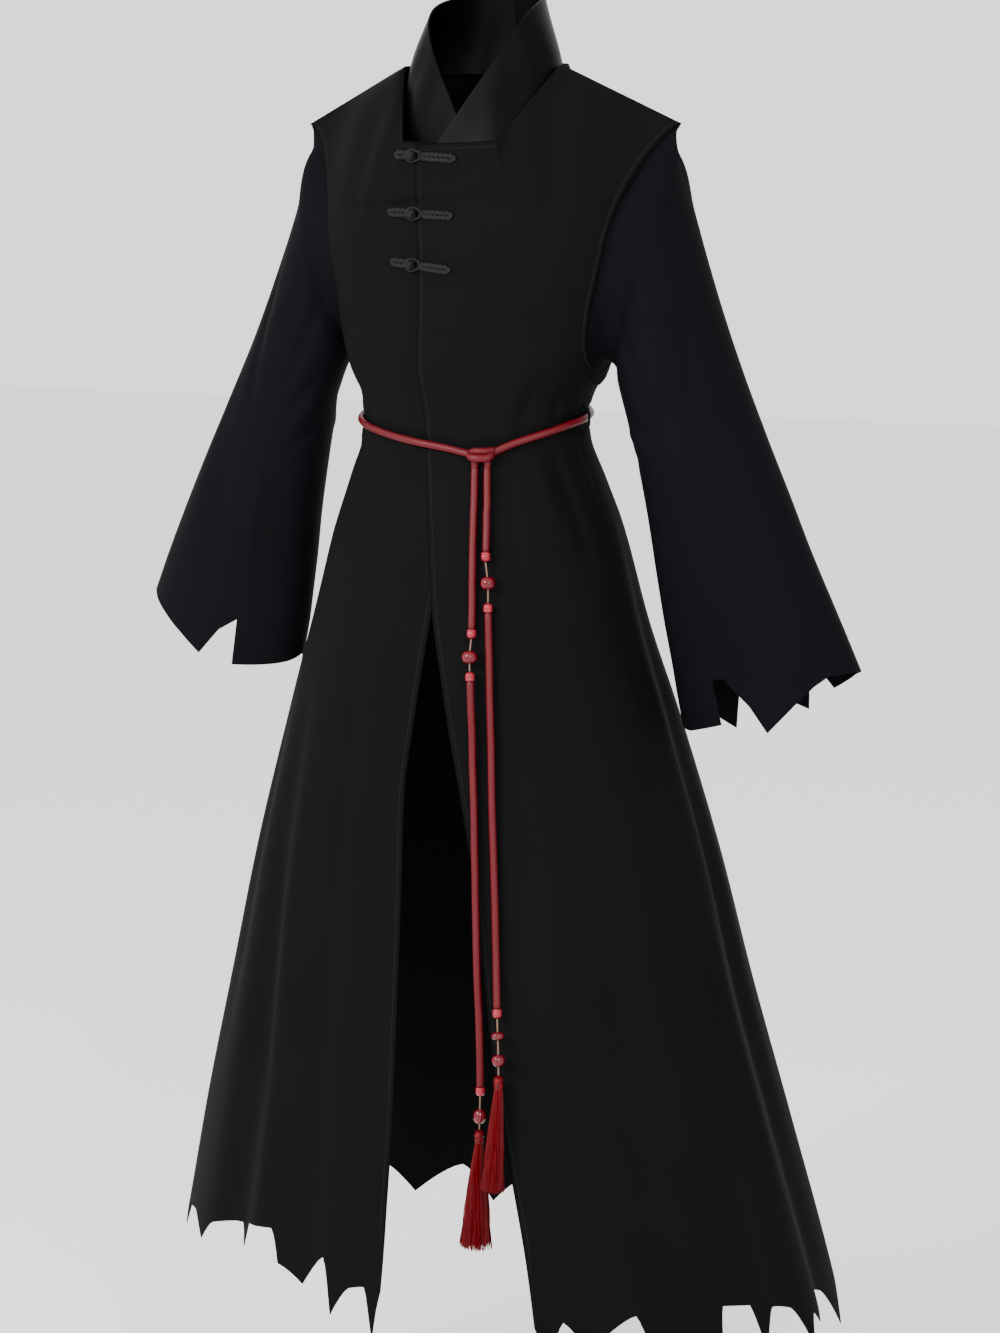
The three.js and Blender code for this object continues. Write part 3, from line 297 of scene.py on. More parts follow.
def tube(line, radius, up, sides=20, flat=1.0, twist=None):
    """Rings round a line: centre + radius (cos turn * side + sin turn * over), with rounded ends.

    Flat squeezes the ring, and twist = (strands, pitch, depth) winds grooves round it.
    """
    tangent = unit(np.gradient(line, axis=0))
    side = unit(np.cross(tangent, up))
    over = np.cross(side, tangent)
    travel = travelled(line)
    to_end = np.minimum(travel, travel[-1] - travel)
    turn = np.arange(sides) * 2 * np.pi / sides
    ring = np.full((len(line), sides), radius) * (0.72 + 0.28 * smooth(0, radius * 0.6, to_end))[:, None]
    if twist:
        strands, pitch, depth = twist
        wound = strands * (turn + travel[:, None] * 2 * np.pi / pitch) / 2
        ring = ring * (1 - depth + depth * np.abs(np.cos(wound)))
    points = (
        line[:, None] + (ring * np.cos(turn))[..., None] * side[:, None]
        + (ring * np.sin(turn) * flat)[..., None] * over[:, None]
    )
    index = numbers(len(line), sides, ring=True)
    count = len(line) * sides
    faces = [quads(index), fan(count, index[0]), fan(count + 1, index[-1, ::-1])]
    along = travel / (2 * np.pi * radius)
    uv = np.stack(np.broadcast_arrays(turn / (2 * np.pi), along[:, None]), -1).reshape(-1, 2)
    points = np.concatenate([points.reshape(-1, 3), line[:1], line[-1:]])
    return points, faces, np.concatenate([uv, [[0.5, 0], [0.5, along[-1]]]])


def lathe(profile, place, direction, segments=48):
    """Turns a profile of radius and height round an axis. It ends on the axis or closes on itself."""
    profile = np.array(profile, float)
    ends_on_axis = profile[0, 0] == 0
    rows = profile[1:-1] if ends_on_axis else profile
    turn = np.arange(segments) * 2 * np.pi / segments
    points = np.stack(np.broadcast_arrays(
        rows[:, :1] * np.cos(turn), rows[:, :1] * np.sin(turn), rows[:, 1:]), -1).reshape(-1, 3)
    uv = np.stack(np.broadcast_arrays(turn / (2 * np.pi), rows[:, 1:] / 30), -1).reshape(-1, 2)
    index = numbers(len(rows), segments, ring=True)
    if ends_on_axis:
        count = len(points)
        faces = [quads(index)[:, ::-1], fan(count, index[0, ::-1]), fan(count + 1, index[-1])]
        points = np.concatenate([points, [[0, 0, profile[0, 1]], [0, 0, profile[-1, 1]]]])
        uv = np.concatenate([uv, [[0.5, 0], [0.5, 1]]])
    else:
        faces = [quads(np.vstack([index, index[:1]]))[:, ::-1]]
    axis = unit(np.array(direction, float))
    side = unit(np.cross(axis, [0.3, 1.0, 0.1]))
    turned = np.stack([side, np.cross(axis, side), axis])
    return np.array(place) + points @ turned, faces, uv


# %% [markdown]
# ## Rope, threads, beads and tassels
#
# The belt's rope is a smooth satin cord, 8 mm thick, braided so finely that it looks polished: dark red
# with a soft pale line of light along it. Two ends hang from a knot. Each passes an end cap, a glassy bead
# on a tan thread and another cap, and ends in beads and a tassel. The hanging parts are cords in their own
# right, so each route is given point by point, and a tube follows it.

# %% Routes of the cords, in millimetres
ROPE_RADIUS = 4
THREAD_RADIUS = 1
ROUTES = {
    "rope_a_upper": [
        (60.5, -122.7, -422.25), (61, -123.9, -428.5), (61.5, -125, -435), (62, -126, -441),
        (62.5, -127, -447), (63.2, -128.2, -453.5), (64, -129.5, -460), (64.5, -131.2, -466.5),
        (65, -133, -473), (65.8, -134.4, -479.5), (66.5, -135.8, -486), (67, -137.2, -492),
        (67.5, -138.6, -498), (68, -139.9, -504.5), (68.5, -141.2, -511),
    ],
    "thread_a_upper": [
        (69.3, -143.3, -521.4), (72, -145.6, -532), (74.2, -147.3, -543), (75, -148.5, -553),
        (75.3, -149.2, -563.7),
    ],
    "rope_a_lower": [
        (76, -150.5, -574), (78, -153, -602), (80, -155.5, -629), (82, -158.5, -657), (84, -161, -685),
        (86.5, -164, -713), (88.5, -167, -740), (90.5, -170, -768), (93, -173, -796), (95.5, -176, -824),
        (98, -179, -851), (100.5, -182, -879), (103, -185.5, -907), (105.5, -189, -935),
        (108.5, -193.5, -962), (112, -199, -990),
    ],
    "thread_a_lower": [
        (113.4, -201.3, -1000.3), (115.3, -204, -1015), (117, -206.2, -1030), (118, -207.5, -1045),
        (118.4, -208, -1060),
    ],
    "rope_b_upper": [
        (47.5, -126.2, -422.25), (48.2, -128.1, -432.5), (49, -130, -443), (49.8, -132, -453.5),
        (50.5, -134, -464), (51.2, -136.2, -475), (52, -138.5, -486), (52.8, -140.5, -496.5),
        (53.5, -142.5, -507), (54.2, -144.2, -517.5), (55, -146, -528), (55.8, -147.8, -539),
        (56.5, -149.5, -550), (57.4, -151.2, -560.5), (58.3, -153, -571), (58.9, -154.8, -581.5),
        (59.5, -156.5, -592),
    ],
    "thread_b_upper": [
        (60.1, -158.3, -602.5), (60.3, -161.4, -612), (60.6, -163.6, -622), (61.3, -164.8, -629),
        (61.8, -165.4, -636),
    ],
    "rope_b_lower": [
        (62.6, -166, -646.5), (64.6, -168, -675), (66.5, -169, -704), (68, -171, -732), (70.5, -173.8, -761),
        (73, -176.8, -790), (75, -180, -819), (77.5, -183.3, -848), (79.5, -186.5, -876), (82, -190, -905),
        (84.5, -193.6, -934), (87, -196.8, -963), (89.5, -198.6, -992), (90.8, -199.2, -1020),
        (91.6, -199.4, -1049), (92, -199.5, -1078),
    ],
    "thread_b_lower": [
        (92, -199.5, -1088.4), (91.6, -199.5, -1101), (91.3, -199.5, -1113), (91.1, -199.5, -1119),
        (91, -199.5, -1125.5),
    ],
}

# %% [markdown]
# Satin cord is polyester braid: the threads run nearly along it and catch the light in one long streak. A
# round braid shows as two families of fine ridges that cross, so two wave patterns that climb round the
# cord in opposite directions are laid over each other. Ridges finer than half a millimetre would vanish in
# the picture, so they are drawn about a millimetre apart.

# %% Materials of the cords
WHOLE_BAND = 0.6283


def braid(name, dark, light, strands, relief_mm, roughness, sheen, gloss=0.5):
    """A round braid: ridges that climb round the cord both ways, with painted shade in the grooves between
    them.
    """
    material, tree, shader = new_material(name)
    place = add(tree, "TexCoord").outputs
    mirrored = add(tree, "Mapping", {"Vector": place["UV"], "Scale": (-1, 1, 1)}).outputs[0]
    scale = WHOLE_BAND * strands
    ridges = work_out(tree, "MULTIPLY", bands(tree, place["UV"], scale), bands(tree, mirrored, scale))
    height = work_out(tree, "MULTIPLY_ADD", noise(tree, place["Object"], 700.0), 0.35, ridges)
    feed(tree, shader, {
        # The colour follows the height: the dark colour lies in the grooves as painted shade, the light one
        # on the ridge tops as painted light, and the noise adds random tone.
        "Base Color": mix(tree, height, linear(dark), linear(light)),
        "Normal": bump(tree, 0.6, relief_mm, height), "Roughness": roughness,
        "Specular IOR Level": gloss, "Sheen Weight": sheen, "Sheen Roughness": 0.4,
    })
    return material


SATIN_CORD = braid("red_satin_cord", "#340008", "#680310", 14, 0.2, 0.3, 0.0, gloss=0.22)
TAN_THREAD = braid("tan_waxed_thread", "#4d3a28", "#7b5a45", 3, 0.2, 0.6, 0.1)
SILK = braid("deep_red_rayon_silk", "#390006", "#6e0009", 3, 0.05, 0.32, 0.0, gloss=0.12)
BLACK_BRAID = braid("black_plaited_braid", "#070707", "#242425", 6, 0.35, 0.58, 0.0, gloss=0.08)


# %% [markdown]
# The beads are cast resin, clear red over a dark heart, and so glossy that each lamp shows in them as a
# small white spot. The end caps are the same resin in a milkier, pinker red.

# %% Materials of the beads and caps
def resin(name, dark, light, roughness):
    """Cast resin: slow clouds of colour under a clear coat."""
    material, tree, shader = new_material(name)
    place = add(tree, "TexCoord").outputs["Object"]
    feed(tree, shader, {
        "Base Color": mix(tree, noise(tree, place, 160.0, 3.0), linear(dark), linear(light)),
        "Roughness": rescale(tree, noise(tree, place, 900.0), roughness, roughness + 0.08),
        "IOR": 1.55, "Specular IOR Level": 0.2, "Coat Weight": 0.3, "Coat Roughness": 0.04,
    })
    return material


RED_RESIN = resin("clear_red_resin", "#33000a", "#6f0414", 0.1)
PINK_RESIN = resin("milky_red_resin", "#6c0515", "#931a2e", 0.2)

# %% [markdown]
# A rope is a smooth tube, and a thread is a thinner one with two strands wound round each other.

# %% Cords
CORD_KINDS = {
    "rope": (ROPE_RADIUS, SATIN_CORD, 2.5, 24, None),
    "thread": (THREAD_RADIUS, TAN_THREAD, 1.5, 10, (2, 6, 0.25)),
}


def make_cord(node, route):
    """A tube along a hanging route. Returns the piece, its line and length in metres, and its radius."""
    kind = node.split("_")[0]
    radius, material, step, sides, twist = CORD_KINDS[kind]
    line = fine_line(route, step)
    surface = tube(line, radius, (0, 1, 0), sides, twist=twist)
    piece = make_piece(node + "_cord", [node], kind, material, surface)
    length = float(travelled(line)[-1] * MM)
    print(f"{node}: {length:.3f} m of cord, {2 * radius} mm thick")
    return piece, line * MM, length, radius


cords = {node: make_cord(node, route) for node, route in ROUTES.items()}

# %% [markdown]
# An end cap is a small round drum with a flat mouth, where the rope goes in, and a domed end, where the
# thread comes out. A bead is a ring with a bore, so its profile closes on itself. Both are profiles that
# are turned round the direction of their cord.

# %% Caps and beads
CAP_PROFILE = [
    (0, 0), (3.4, 0), (4.3, 0.1), (4.75, 0.45), (5.0, 1.1), (5.1, 2.2), (4.85, 2.9), (4.8, 3.2), (5.05, 3.8),
    (5.1, 5.2), (4.9, 6.6), (4.4, 7.8), (3.5, 8.8), (2.3, 9.45), (1.2, 9.65), (0, 9.7),
]
SEAM = 0.3


def make_cap(name, route, at_end):
    """A cap just past one end of a rope, turned the way in which the rope leads out."""
    inner, end = np.array(route[-2:] if at_end else route[1::-1], float)
    direction = unit(end - inner)
    surface = lathe(CAP_PROFILE, end + direction * SEAM, direction)
    return make_piece(name + "_resin", [name], "bead", PINK_RESIN, surface)


def make_bead(name, route, share, radius, half_height):
    """A ring round its thread: radius * cos(turn) ** 0.8 out, half height * sin(turn) up, and a bore."""
    bore = THREAD_RADIUS + 0.9
    turn = np.radians(np.linspace(-66, 66, 23))
    profile = np.stack([radius * np.cos(turn) ** 0.8, half_height * np.sin(turn)], -1)
    face = (bore + profile[0, 0]) / 2
    rim = np.array([[bore, 0.96], [bore + 0.5, 1.02], [face, 1.03]])
    profile = np.concatenate([rim * [1, profile[0, 1]], profile, rim[::-1] * [1, profile[-1, 1]]])
    line = catmull_rom(route, 101)
    k = int(round(share * 100))
    surface = lathe(profile, line[k], line[k + 1] - line[k - 1])
    return make_piece(name + "_resin", [name], "bead", RED_RESIN, surface)


CAPS = (("upper", True), ("lower", False), ("lower", True))
BEADS = {
    "bead_a_1": ("thread_a_upper", 0.52, 8, 7),
    "bead_b_1": ("thread_b_upper", 0.56, 8.5, 7),
    "bead_a_2": ("thread_a_lower", 0.3, 7, 4.5),
    "bead_a_3": ("thread_a_lower", 0.73, 7.2, 6.5),
    "bead_b_2": ("thread_b_lower", 0.6, 7, 8),
}
for cord in "ab":
    for number, (part, at_end) in enumerate(CAPS, 1):
        name = f"cap_{cord}_{number}"
        make_cap(name, ROUTES[f"rope_{cord}_{part}"], at_end)
for name, (thread, *size) in BEADS.items():
    make_bead(name, ROUTES[thread], *size)

# %% [markdown]
# A tassel is a bundle of rayon threads, folded over its cord and bound below the fold. The threads leave
# the binding close together and spread as they hang. Each is a thin square rod whose place is a function
# of its number and of the share of the way down: the golden angle spreads them evenly over the bundle.

# %% Tassels
STRANDS, STRAND_ROWS = 460, 22
GOLDEN_ANGLE = 2.39996
BOUND_RADIUS = 3.9


def tassel_threads(head, length, spread, lean):
    """Thread k turns by k golden angles and waves a little, and its ring grows as the root of k."""
    k = np.arange(STRANDS)[:, None, None]
    share = np.linspace(0, 1, STRAND_ROWS)[None, :, None]
    turn = k * GOLDEN_ANGLE
    ring = np.sqrt((k + 0.5) / STRANDS)
    uneven = 1 - 0.05 * ((k * 7) % 11) / 10 - 0.02 * ((k * 3) % 5) / 4
    wave = 0.7 * share * np.sin(share * (7 + (k % 5)) + k * 1.7)
    out = ring * (BOUND_RADIUS + (spread - BOUND_RADIUS) * share ** 0.85) + wave * (0.4 + ring)
    turned = turn + 0.12 * np.sin(share * 5 + k * 0.37)
    z = -head + 3 - (length - head) * uneven * share
    half = 0.34 + 0.08 * np.sin(k * 5.1)
    corner = np.radians(np.arange(4) * 90)[None, None]
    points = np.stack(np.broadcast_arrays(
        out * np.cos(turned) + half * np.cos(corner + turn),
        out * np.sin(turned) + half * np.sin(corner + turn) + lean * (z + head),
        z,
    ), -1)
    index = numbers(STRAND_ROWS, 4, ring=True)
    thread = np.concatenate([quads(index)[:, ::-1], index[:1, :4], index[-1:, 3::-1]])
    faces = (thread[None] + np.arange(STRANDS)[:, None, None] * STRAND_ROWS * 4).reshape(-1, 4)
    uv = np.stack(np.broadcast_arrays(corner / (2 * np.pi), share * length / 6 + k * 0.37), -1)
    return points.reshape(-1, 3), [faces], uv.reshape(-1, 2)


def make_tassel(name, top, head, length, spread, lean):
    """The head with its binding, and the threads below it."""
    rise = np.linspace(0, 1, 13)
    binding = [(4.75 + 0.32 * abs(np.sin(np.pi * 4 * t)), -head + 2.4 + 5.2 * t) for t in rise]
    profile = [
        (0, -head), (BOUND_RADIUS, -head), (4.6, -head + 0.8), (4.9, -head + 1.8), *binding, (5.3, -6.4),
        (5.6, -5.4), (5.5, -4.2), (5.0, -2.8), (4.0, -1.6), (2.6, -0.7), (1.2, -0.2), (0, 0),
    ]
    turned = lathe(profile, (0, 0, 0), (0, 0, 1))
    points, faces, uv = join([turned, tassel_threads(head, length, spread, lean)])
    make_piece(name + "_silk", [name], "tassel", SILK, (points + np.array(top), faces, uv), sharp=60)
    triangles = sum(len(kind) * (kind.shape[1] - 2) for kind in faces)
    print(f"{name}: {STRANDS} threads, {triangles} triangles")


make_tassel("tassel_a", (118.4, -208, -1060.4), 15, 127, 12, 0.13)
make_tassel("tassel_b", (91, -199.5, -1125.9), 15, 132, 17.5, 0.08)

# %% [markdown]
# Each stretch of rope or thread is listed with the pieces that it carries, and the lengths of all the
# cords are added up.

CARRIED = {
    "rope_a_upper": ["cap_a_1"],
    "thread_a_upper": ["bead_a_1", "cap_a_2"],
    "rope_a_lower": ["cap_a_3"],
    "thread_a_lower": ["bead_a_2", "bead_a_3"],
    "rope_b_upper": ["cap_b_1"],
    "thread_b_upper": ["bead_b_1", "cap_b_2"],
    "rope_b_lower": ["cap_b_3"],
    "thread_b_lower": ["bead_b_2"],
}
for node, carried in CARRIED.items():
    piece, line, length, radius = cords[node]
print("cords:", round(sum(length for _, _, length, _ in cords.values()), 2), "m in all")

# %% [markdown]
# ## Cloth
#
# The coat is a matt polyester twill, woven in fine slanting ridges and dyed black. It gives back little
# light and has hardly any shine, so folds show only as soft changes from black to charcoal. The robe's
# sleeves are a slightly cooler black, and its collar band is a smoother satin weave with a faint gloss.

# %% Cloth materials
THICKNESS = 1.0
TWILL_BAND = 0.314
STITCH_IN, STITCH_STEP, STITCH_SHARE = 6.0, 3.2, 0.72
STITCH_COLOUR = "#161617"


def sew(tree, shade, tilt):
    """Sews a line of stitches along finished edges, and gives the doubled cloth outside it a raised step.

    The pieces carry two numbers at each point, in millimetres: how far it lies from the nearest finished
    edge, and how far along that edge. A stitch shows where the first is near the seam and the second is
    within the longer part of each step. Within 2.6 mm of the edge the colour is darkened, down to 0.12 of
    itself at the edge: painted shade, as if the edge rolled into shadow. Returns the colour and the normals
    of the sewn cloth.
    """
    edge, along = (add(tree, "Attribute", attribute_name=name).outputs["Fac"] for name in EDGE_MARKS)
    off = work_out(tree, "ABSOLUTE", work_out(tree, "SUBTRACT", edge, STITCH_IN))
    seam = rescale(tree, off, 1.0, 0.0, 0.25, 0.75, "SMOOTHSTEP")
    phase = work_out(tree, "FRACT", work_out(tree, "DIVIDE", along, STITCH_STEP))
    stitch = work_out(tree, "MULTIPLY", seam, work_out(tree, "LESS_THAN", phase, STITCH_SHARE))
    sewn = mix(tree, stitch, shade, linear(STITCH_COLOUR))
    step = rescale(tree, edge, 1.0, 0.0, STITCH_IN - 1.2, STITCH_IN + 1.2, "SMOOTHSTEP")
    raised = work_out(tree, "MULTIPLY_ADD", stitch, 0.5, step)
    # Painted shade: the colour darkens towards each finished edge, to 0.12 of itself at the edge.
    turned = rescale(tree, edge, 0.12, 1.0, 0.3, 2.6, "SMOOTHSTEP")
    return mix(tree, 1.0, sewn, turned, "MULTIPLY"), bump(tree, 0.35, 0.4, raised, Normal=tilt)


def twill(name, dark, light, roughness, sheen, thread_mm, relief_mm):
    """Woven cloth: slanting ridges one thread apart with painted shade and light on them, uneven dye in
    patches, and a slubby fine grain.
    """
    material, tree, shader = new_material(name)
    place = add(tree, "TexCoord").outputs
    ridges = bands(tree, place["UV"], TWILL_BAND / (thread_mm * MM), Distortion=0.6, Detail=1.0)
    patches = noise(tree, place["Object"], 9.0, 3.0)
    slubs = noise(tree, place["UV"], 900.0)
    dye = mix(tree, patches, linear(dark), linear(light))
    # Painted shade and light: the colour is scaled by the ridges, to 0.82 in the grooves and 1.12 on the
    # ridge tops.
    shade = mix(tree, 1.0, dye, rescale(tree, ridges, 0.82, 1.12), "MULTIPLY")
    weave = bump(tree, 0.5, relief_mm, work_out(tree, "MULTIPLY_ADD", slubs, 0.5, ridges))
    colour, normals = sew(tree, shade, weave)
    feed(tree, shader, {
        "Base Color": colour, "Normal": normals,
        "Roughness": rescale(tree, patches, roughness - 0.05, roughness + 0.05),
        "Specular IOR Level": 0.04, "Sheen Weight": sheen, "Sheen Roughness": 0.5,
        "Sheen Tint": linear("#8a8c94"),
    })
    return material


COAT_TWILL = twill("black_polyester_twill", "#060606", "#0b0b0b", 0.78, 0.003, 1.1, 0.12)
SLEEVE_TWILL = twill("blue_black_poplin", "#050507", "#08090d", 0.76, 0.003, 0.9, 0.1)
COLLAR_SATIN = twill("black_satin_band", "#030204", "#050407", 0.4, 0.0, 0.7, 0.05)
print("cloth materials:", COAT_TWILL.name, SLEEVE_TWILL.name, COLLAR_SATIN.name)

# %% [markdown]
# ## The body of the coat
#
# The cloth hangs from the shoulders, is drawn in at the waist by the rope and flares down to a torn hem.
# Each height of it is a squared ellipse, read from a short table on a smooth curve, so the whole body is a
# function of an angle round the waist and a height. Long folds of the skirt are troughs and ridges that
# grow on the way down.

# %% Tables of the body, in millimetres and degrees
def table(names, rows):
    """A small table with named columns."""
    return dict(zip(names.split(), np.array(rows, float).T))


SECTIONS = table("z side front rear x y square", [
    (-100, 188, 98, 95, 0, 2, 2.5),
    (-150, 190, 106, 100, 0, 0, 2.5),
    (-220, 178, 103, 100, 0, -10, 2.4),
    (-317, 152, 92, 96, 0, -28, 2.2),
    (-365, 128, 84, 88, 0, -36, 2.1),
    (-400, 133, 90, 90, 0, -32, 2.0),
    (-440, 149, 100, 98, 0, -29, 2.0),
    (-500, 170, 114, 116, 0, -27, 2.0),
    (-600, 197, 130, 144, 0, -27, 2.0),
    (-700, 228, 146, 166, 0, -21, 2.0),
    (-850, 271, 170, 192, 0, -14, 2.0),
    (-1000, 306, 192, 216, 1, -10, 2.0),
    (-1150, 345, 213, 236, 4, -4, 2.0),
    (-1300, 383, 232, 252, 10, 0, 2.0),
    (-1420, 413, 246, 264, 14, 0, 2.0),
])

FOLDS = table("start end top bottom width depth", [
    (-50, -41, -560, -1100, 6, -13),
    (-44, -32, -620, -1100, 4, 6),
    (-29, -20, -450, -760, 4, -4),
    (-76, -74, -520, -1200, 8, 5),
    (40, 48, -450, -900, 5, -4),
    (60, 62, -600, -1250, 8, 4),
    (80, 76, -420, -1100, 5, -6),
    (96, 98, -400, -900, 6, -12),
    (118, 114, -480, -1150, 7, 9),
    (138, 134, -430, -1050, 6, -11),
    (160, 158, -520, -1200, 7, 8),
    (182, 184, -440, -1000, 6, -10),
    (204, 208, -520, -1150, 7, 9),
    (226, 230, -430, -1100, 6, -11),
    (248, 252, -500, -1200, 6, 7),
    (262, 264, -410, -950, 5, -8),
])

FRONT_EDGES = table("z left right", [
    (-84, -8, 5),
    (-190, -6.5, 6),
    (-280, -7.6, 6),
    (-331, -8.8, 6),
    (-381, -7, 6.5),
    (-439, -4, 6.5),
    (-502, -0.4, 5.5),
    (-572, 2.5, 2.7),
    (-641, 6.1, 0.4),
    (-698, 8.7, -1.4),
    (-763, 11.8, -2.9),
    (-850, 15.1, -2.3),
    (-944, 17, -1.7),
    (-1103, 19.9, -1.7),
    (-1241, 22.4, -2.8),
    (-1340, 23.4, -3.8),
])

ARMHOLE = table("z angle", [
    (-190, 63), (-235, 63.5), (-275, 65.5), (-300, 70), (-316, 78), (-327, 90),
])


def read(rows, column, z):
    """Reads a table at heights z on a curve through its rows, with their neighbours' mean slopes."""
    zs, values = rows["z"], rows[column]
    z = np.clip(z, zs[-1], zs[0])
    i = np.clip(np.searchsorted(-zs, -z, side="right") - 1, 0, len(zs) - 2)
    inner = (values[2:] - values[:-2]) / (zs[2:] - zs[:-2])
    first = (values[1] - values[0]) / (zs[1] - zs[0])
    last = (values[-1] - values[-2]) / (zs[-1] - zs[-2])
    slopes = np.r_[first, inner, last]
    span = zs[i + 1] - zs[i]
    t = (z - zs[i]) / span
    rise = values[i + 1] - values[i]
    a = slopes[i] * span - rise
    b = rise - slopes[i + 1] * span
    return values[i] + t * rise + t * (1 - t) * ((1 - t) * a + t * b)


def fold_depth(angle, z):
    """The sum of the folds: each is a bell across, which grows from its top to its bottom."""
    depth = np.zeros(np.broadcast(angle, z).shape)
    for start, end, top, bottom, width, deep in zip(*FOLDS.values()):
        grown = smooth(top, bottom, z)
        along = np.clip((top - z) / (top - bottom), 0, 1)
        off = (angle - (start + (end - start) * along) + 540) % 360 - 180
        depth = depth + deep * grown * np.exp(-((off / width) ** 2))
    return depth


def body_point(angle, z):
    """A squared ellipse at height z, pushed out or in by the folds. Angle 0 is the front, 90 the left."""
    angle, z = np.broadcast_arrays(np.asarray(angle, float), np.asarray(z, float))
    s, c = np.sin(np.radians(angle)), np.cos(np.radians(angle))
    side = read(SECTIONS, "side", z)
    deep = np.where(c > 0, read(SECTIONS, "front", z), read(SECTIONS, "rear", z))
    power = 2 / read(SECTIONS, "square", z)
    x = side * np.sign(s) * np.abs(s) ** power
    y = -deep * np.sign(c) * np.abs(c) ** power
    outward = unit(np.stack([x / side ** 2, y / deep ** 2], -1))
    fold = fold_depth(angle, z)[..., None]
    flat = np.stack([read(SECTIONS, "x", z) + x, read(SECTIONS, "y", z) + y], -1) + outward * fold
    return np.concatenate([flat, z[..., None]], -1)


def body_normal(angle, z):
    """The outward normal, from points a little to each side."""
    round_ = body_point(angle + 0.5, z) - body_point(angle - 0.5, z)
    down = body_point(angle, z - 2) - body_point(angle, z + 2)
    return unit(np.cross(down, round_))


print("waist:", round(float(read(SECTIONS, "side", -365)) * 2), "mm wide")

# %% [markdown]
# ## Creases
#
# Cloth that is drawn in by a rope gathers above and below it, pulls towards the underarms and rolls at its
# edges. Each crease is a line on the body with the angle and height of both its ends, a half width and a
# depth in millimetres, and it fades at both ends. No two have the same length, so that none looks stamped.
# The belt's own line is here too, because the cloth swells beside it.

# %% Creases of the body
CREASES = table("a0 z0 a1 z1 width depth", [
    (-50, -152, 12, -141, 3.2, -2.8),
    (-10.5, -226, -10, -340, 3.6, 1.6),
    (-15.5, -226, -15, -330, 3.2, -1.0),
    (-36, -136, 4, -131, 6, 0.5),
    (62, -296, 30, -252, 13, -1.9),
    (60, -322, 34, -296, 11, 1.5),
    (66, -268, 47, -214, 12, -1.6),
    (-62, -298, -34, -262, 12, -1.8),
    (-61, -326, -40, -306, 10, 1.3),
    (-66, -262, -50, -206, 12, -1.5),
    (-52, -318, -50, -396, 6, -2.2),
    (-46, -336, -45, -398, 5, 1.3),
    (-30, -330, -27, -398, 9, -1.3),
    (22, -322, 19, -396, 9, -1.4),
    (40, -306, 36, -388, 8, 1.5),
    (47, -330, 44, -386, 6, -1.8),
    (66, -330, 63, -384, 7, -2.0),
    (80, -345, 79, -378, 6, 1.4),
    (-68, -340, -70, -384, 7, -1.8),
    (-82, -346, -82, -378, 6, 1.3),
    (-56, -398, -51, -520, 9, -2.4),
    (-38, -404, -36, -470, 7, 1.5),
    (-14, -412, -12, -500, 10, -1.7),
    (15, -410, 17, -478, 8, 1.2),
    (30, -404, 35, -560, 11, -2.6),
    (48, -392, 52, -500, 8, 1.9),
    (58, -388, 66, -540, 10, -2.8),
    (74, -384, 77, -470, 7, 1.8),
    (-70, -388, -68, -500, 10, -2.4),
    (105, -330, 108, -364, 7, -2.0),
    (124, -312, 121, -362, 9, -2.1),
    (146, -325, 149, -360, 8, 1.6),
    (163, -300, 160, -358, 9, -2.0),
    (187, -318, 189, -358, 8, -1.9),
    (206, -330, 204, -360, 7, 1.5),
    (229, -306, 232, -362, 9, -2.2),
    (252, -328, 250, -366, 8, -1.8),
    (110, -376, 112, -470, 9, -2.6),
    (129, -372, 133, -540, 10, 2.2),
    (150, -368, 152, -450, 8, -2.0),
    (172, -366, 170, -520, 10, -2.6),
    (193, -367, 196, -440, 8, 1.8),
    (213, -370, 216, -530, 10, -2.4),
    (240, -374, 243, -468, 9, 2.1),
    (257, -378, 256, -540, 9, -2.4),
    (112, -300, 140, -250, 14, -1.9),
    (248, -304, 222, -246, 14, -2.0),
    (118, -250, 150, -205, 16, 1.4),
    (242, -244, 214, -200, 16, 1.3),
    (-64, -700, -61, -1120, 15, -2.6),
    (-20, -640, -16, -1020, 13, 2.0),
    (-10, -760, -8, -1200, 10, -1.9),
    (34, -760, 33, -1240, 16, 2.4),
    (27, -900, 29, -1260, 9, -1.6),
    (52, -820, 55, -1200, 14, -2.6),
    (70, -700, 68, -1130, 16, -3.0),
    (84, -880, 86, -1240, 14, 2.6),
    (-84, -780, -85, -1230, 14, -2.8),
    (106, -760, 104, -1200, 15, 2.6),
    (126, -820, 124, -1260, 13, -2.4),
    (148, -700, 147, -1120, 15, 2.4),
    (170, -860, 171, -1250, 14, -2.6),
    (193, -720, 195, -1100, 15, 2.4),
    (218, -800, 220, -1240, 13, -2.2),
    (240, -760, 242, -1180, 15, 2.4),
    (256, -860, 258, -1240, 13, -2.4),
])


def crease_field(creases, across, down):
    """Adds up creases on a flat map in millimetres: a bell across each line, fading softly at its ends."""
    depth = np.zeros(np.broadcast(across, down).shape)
    for x0, y0, x1, y1, width, deep in creases:
        run = np.array([x1 - x0, y1 - y0])
        length = np.hypot(*run)
        t = ((across - x0) * run[0] + (down - y0) * run[1]) / length ** 2
        off = ((across - x0) * run[1] - (down - y0) * run[0]) / length
        ends = smooth(-0.08, 0.3, t) * (1 - smooth(0.62, 1.1, t))
        depth = depth + deep * ends * np.exp(-((off / width) ** 2))
    return depth


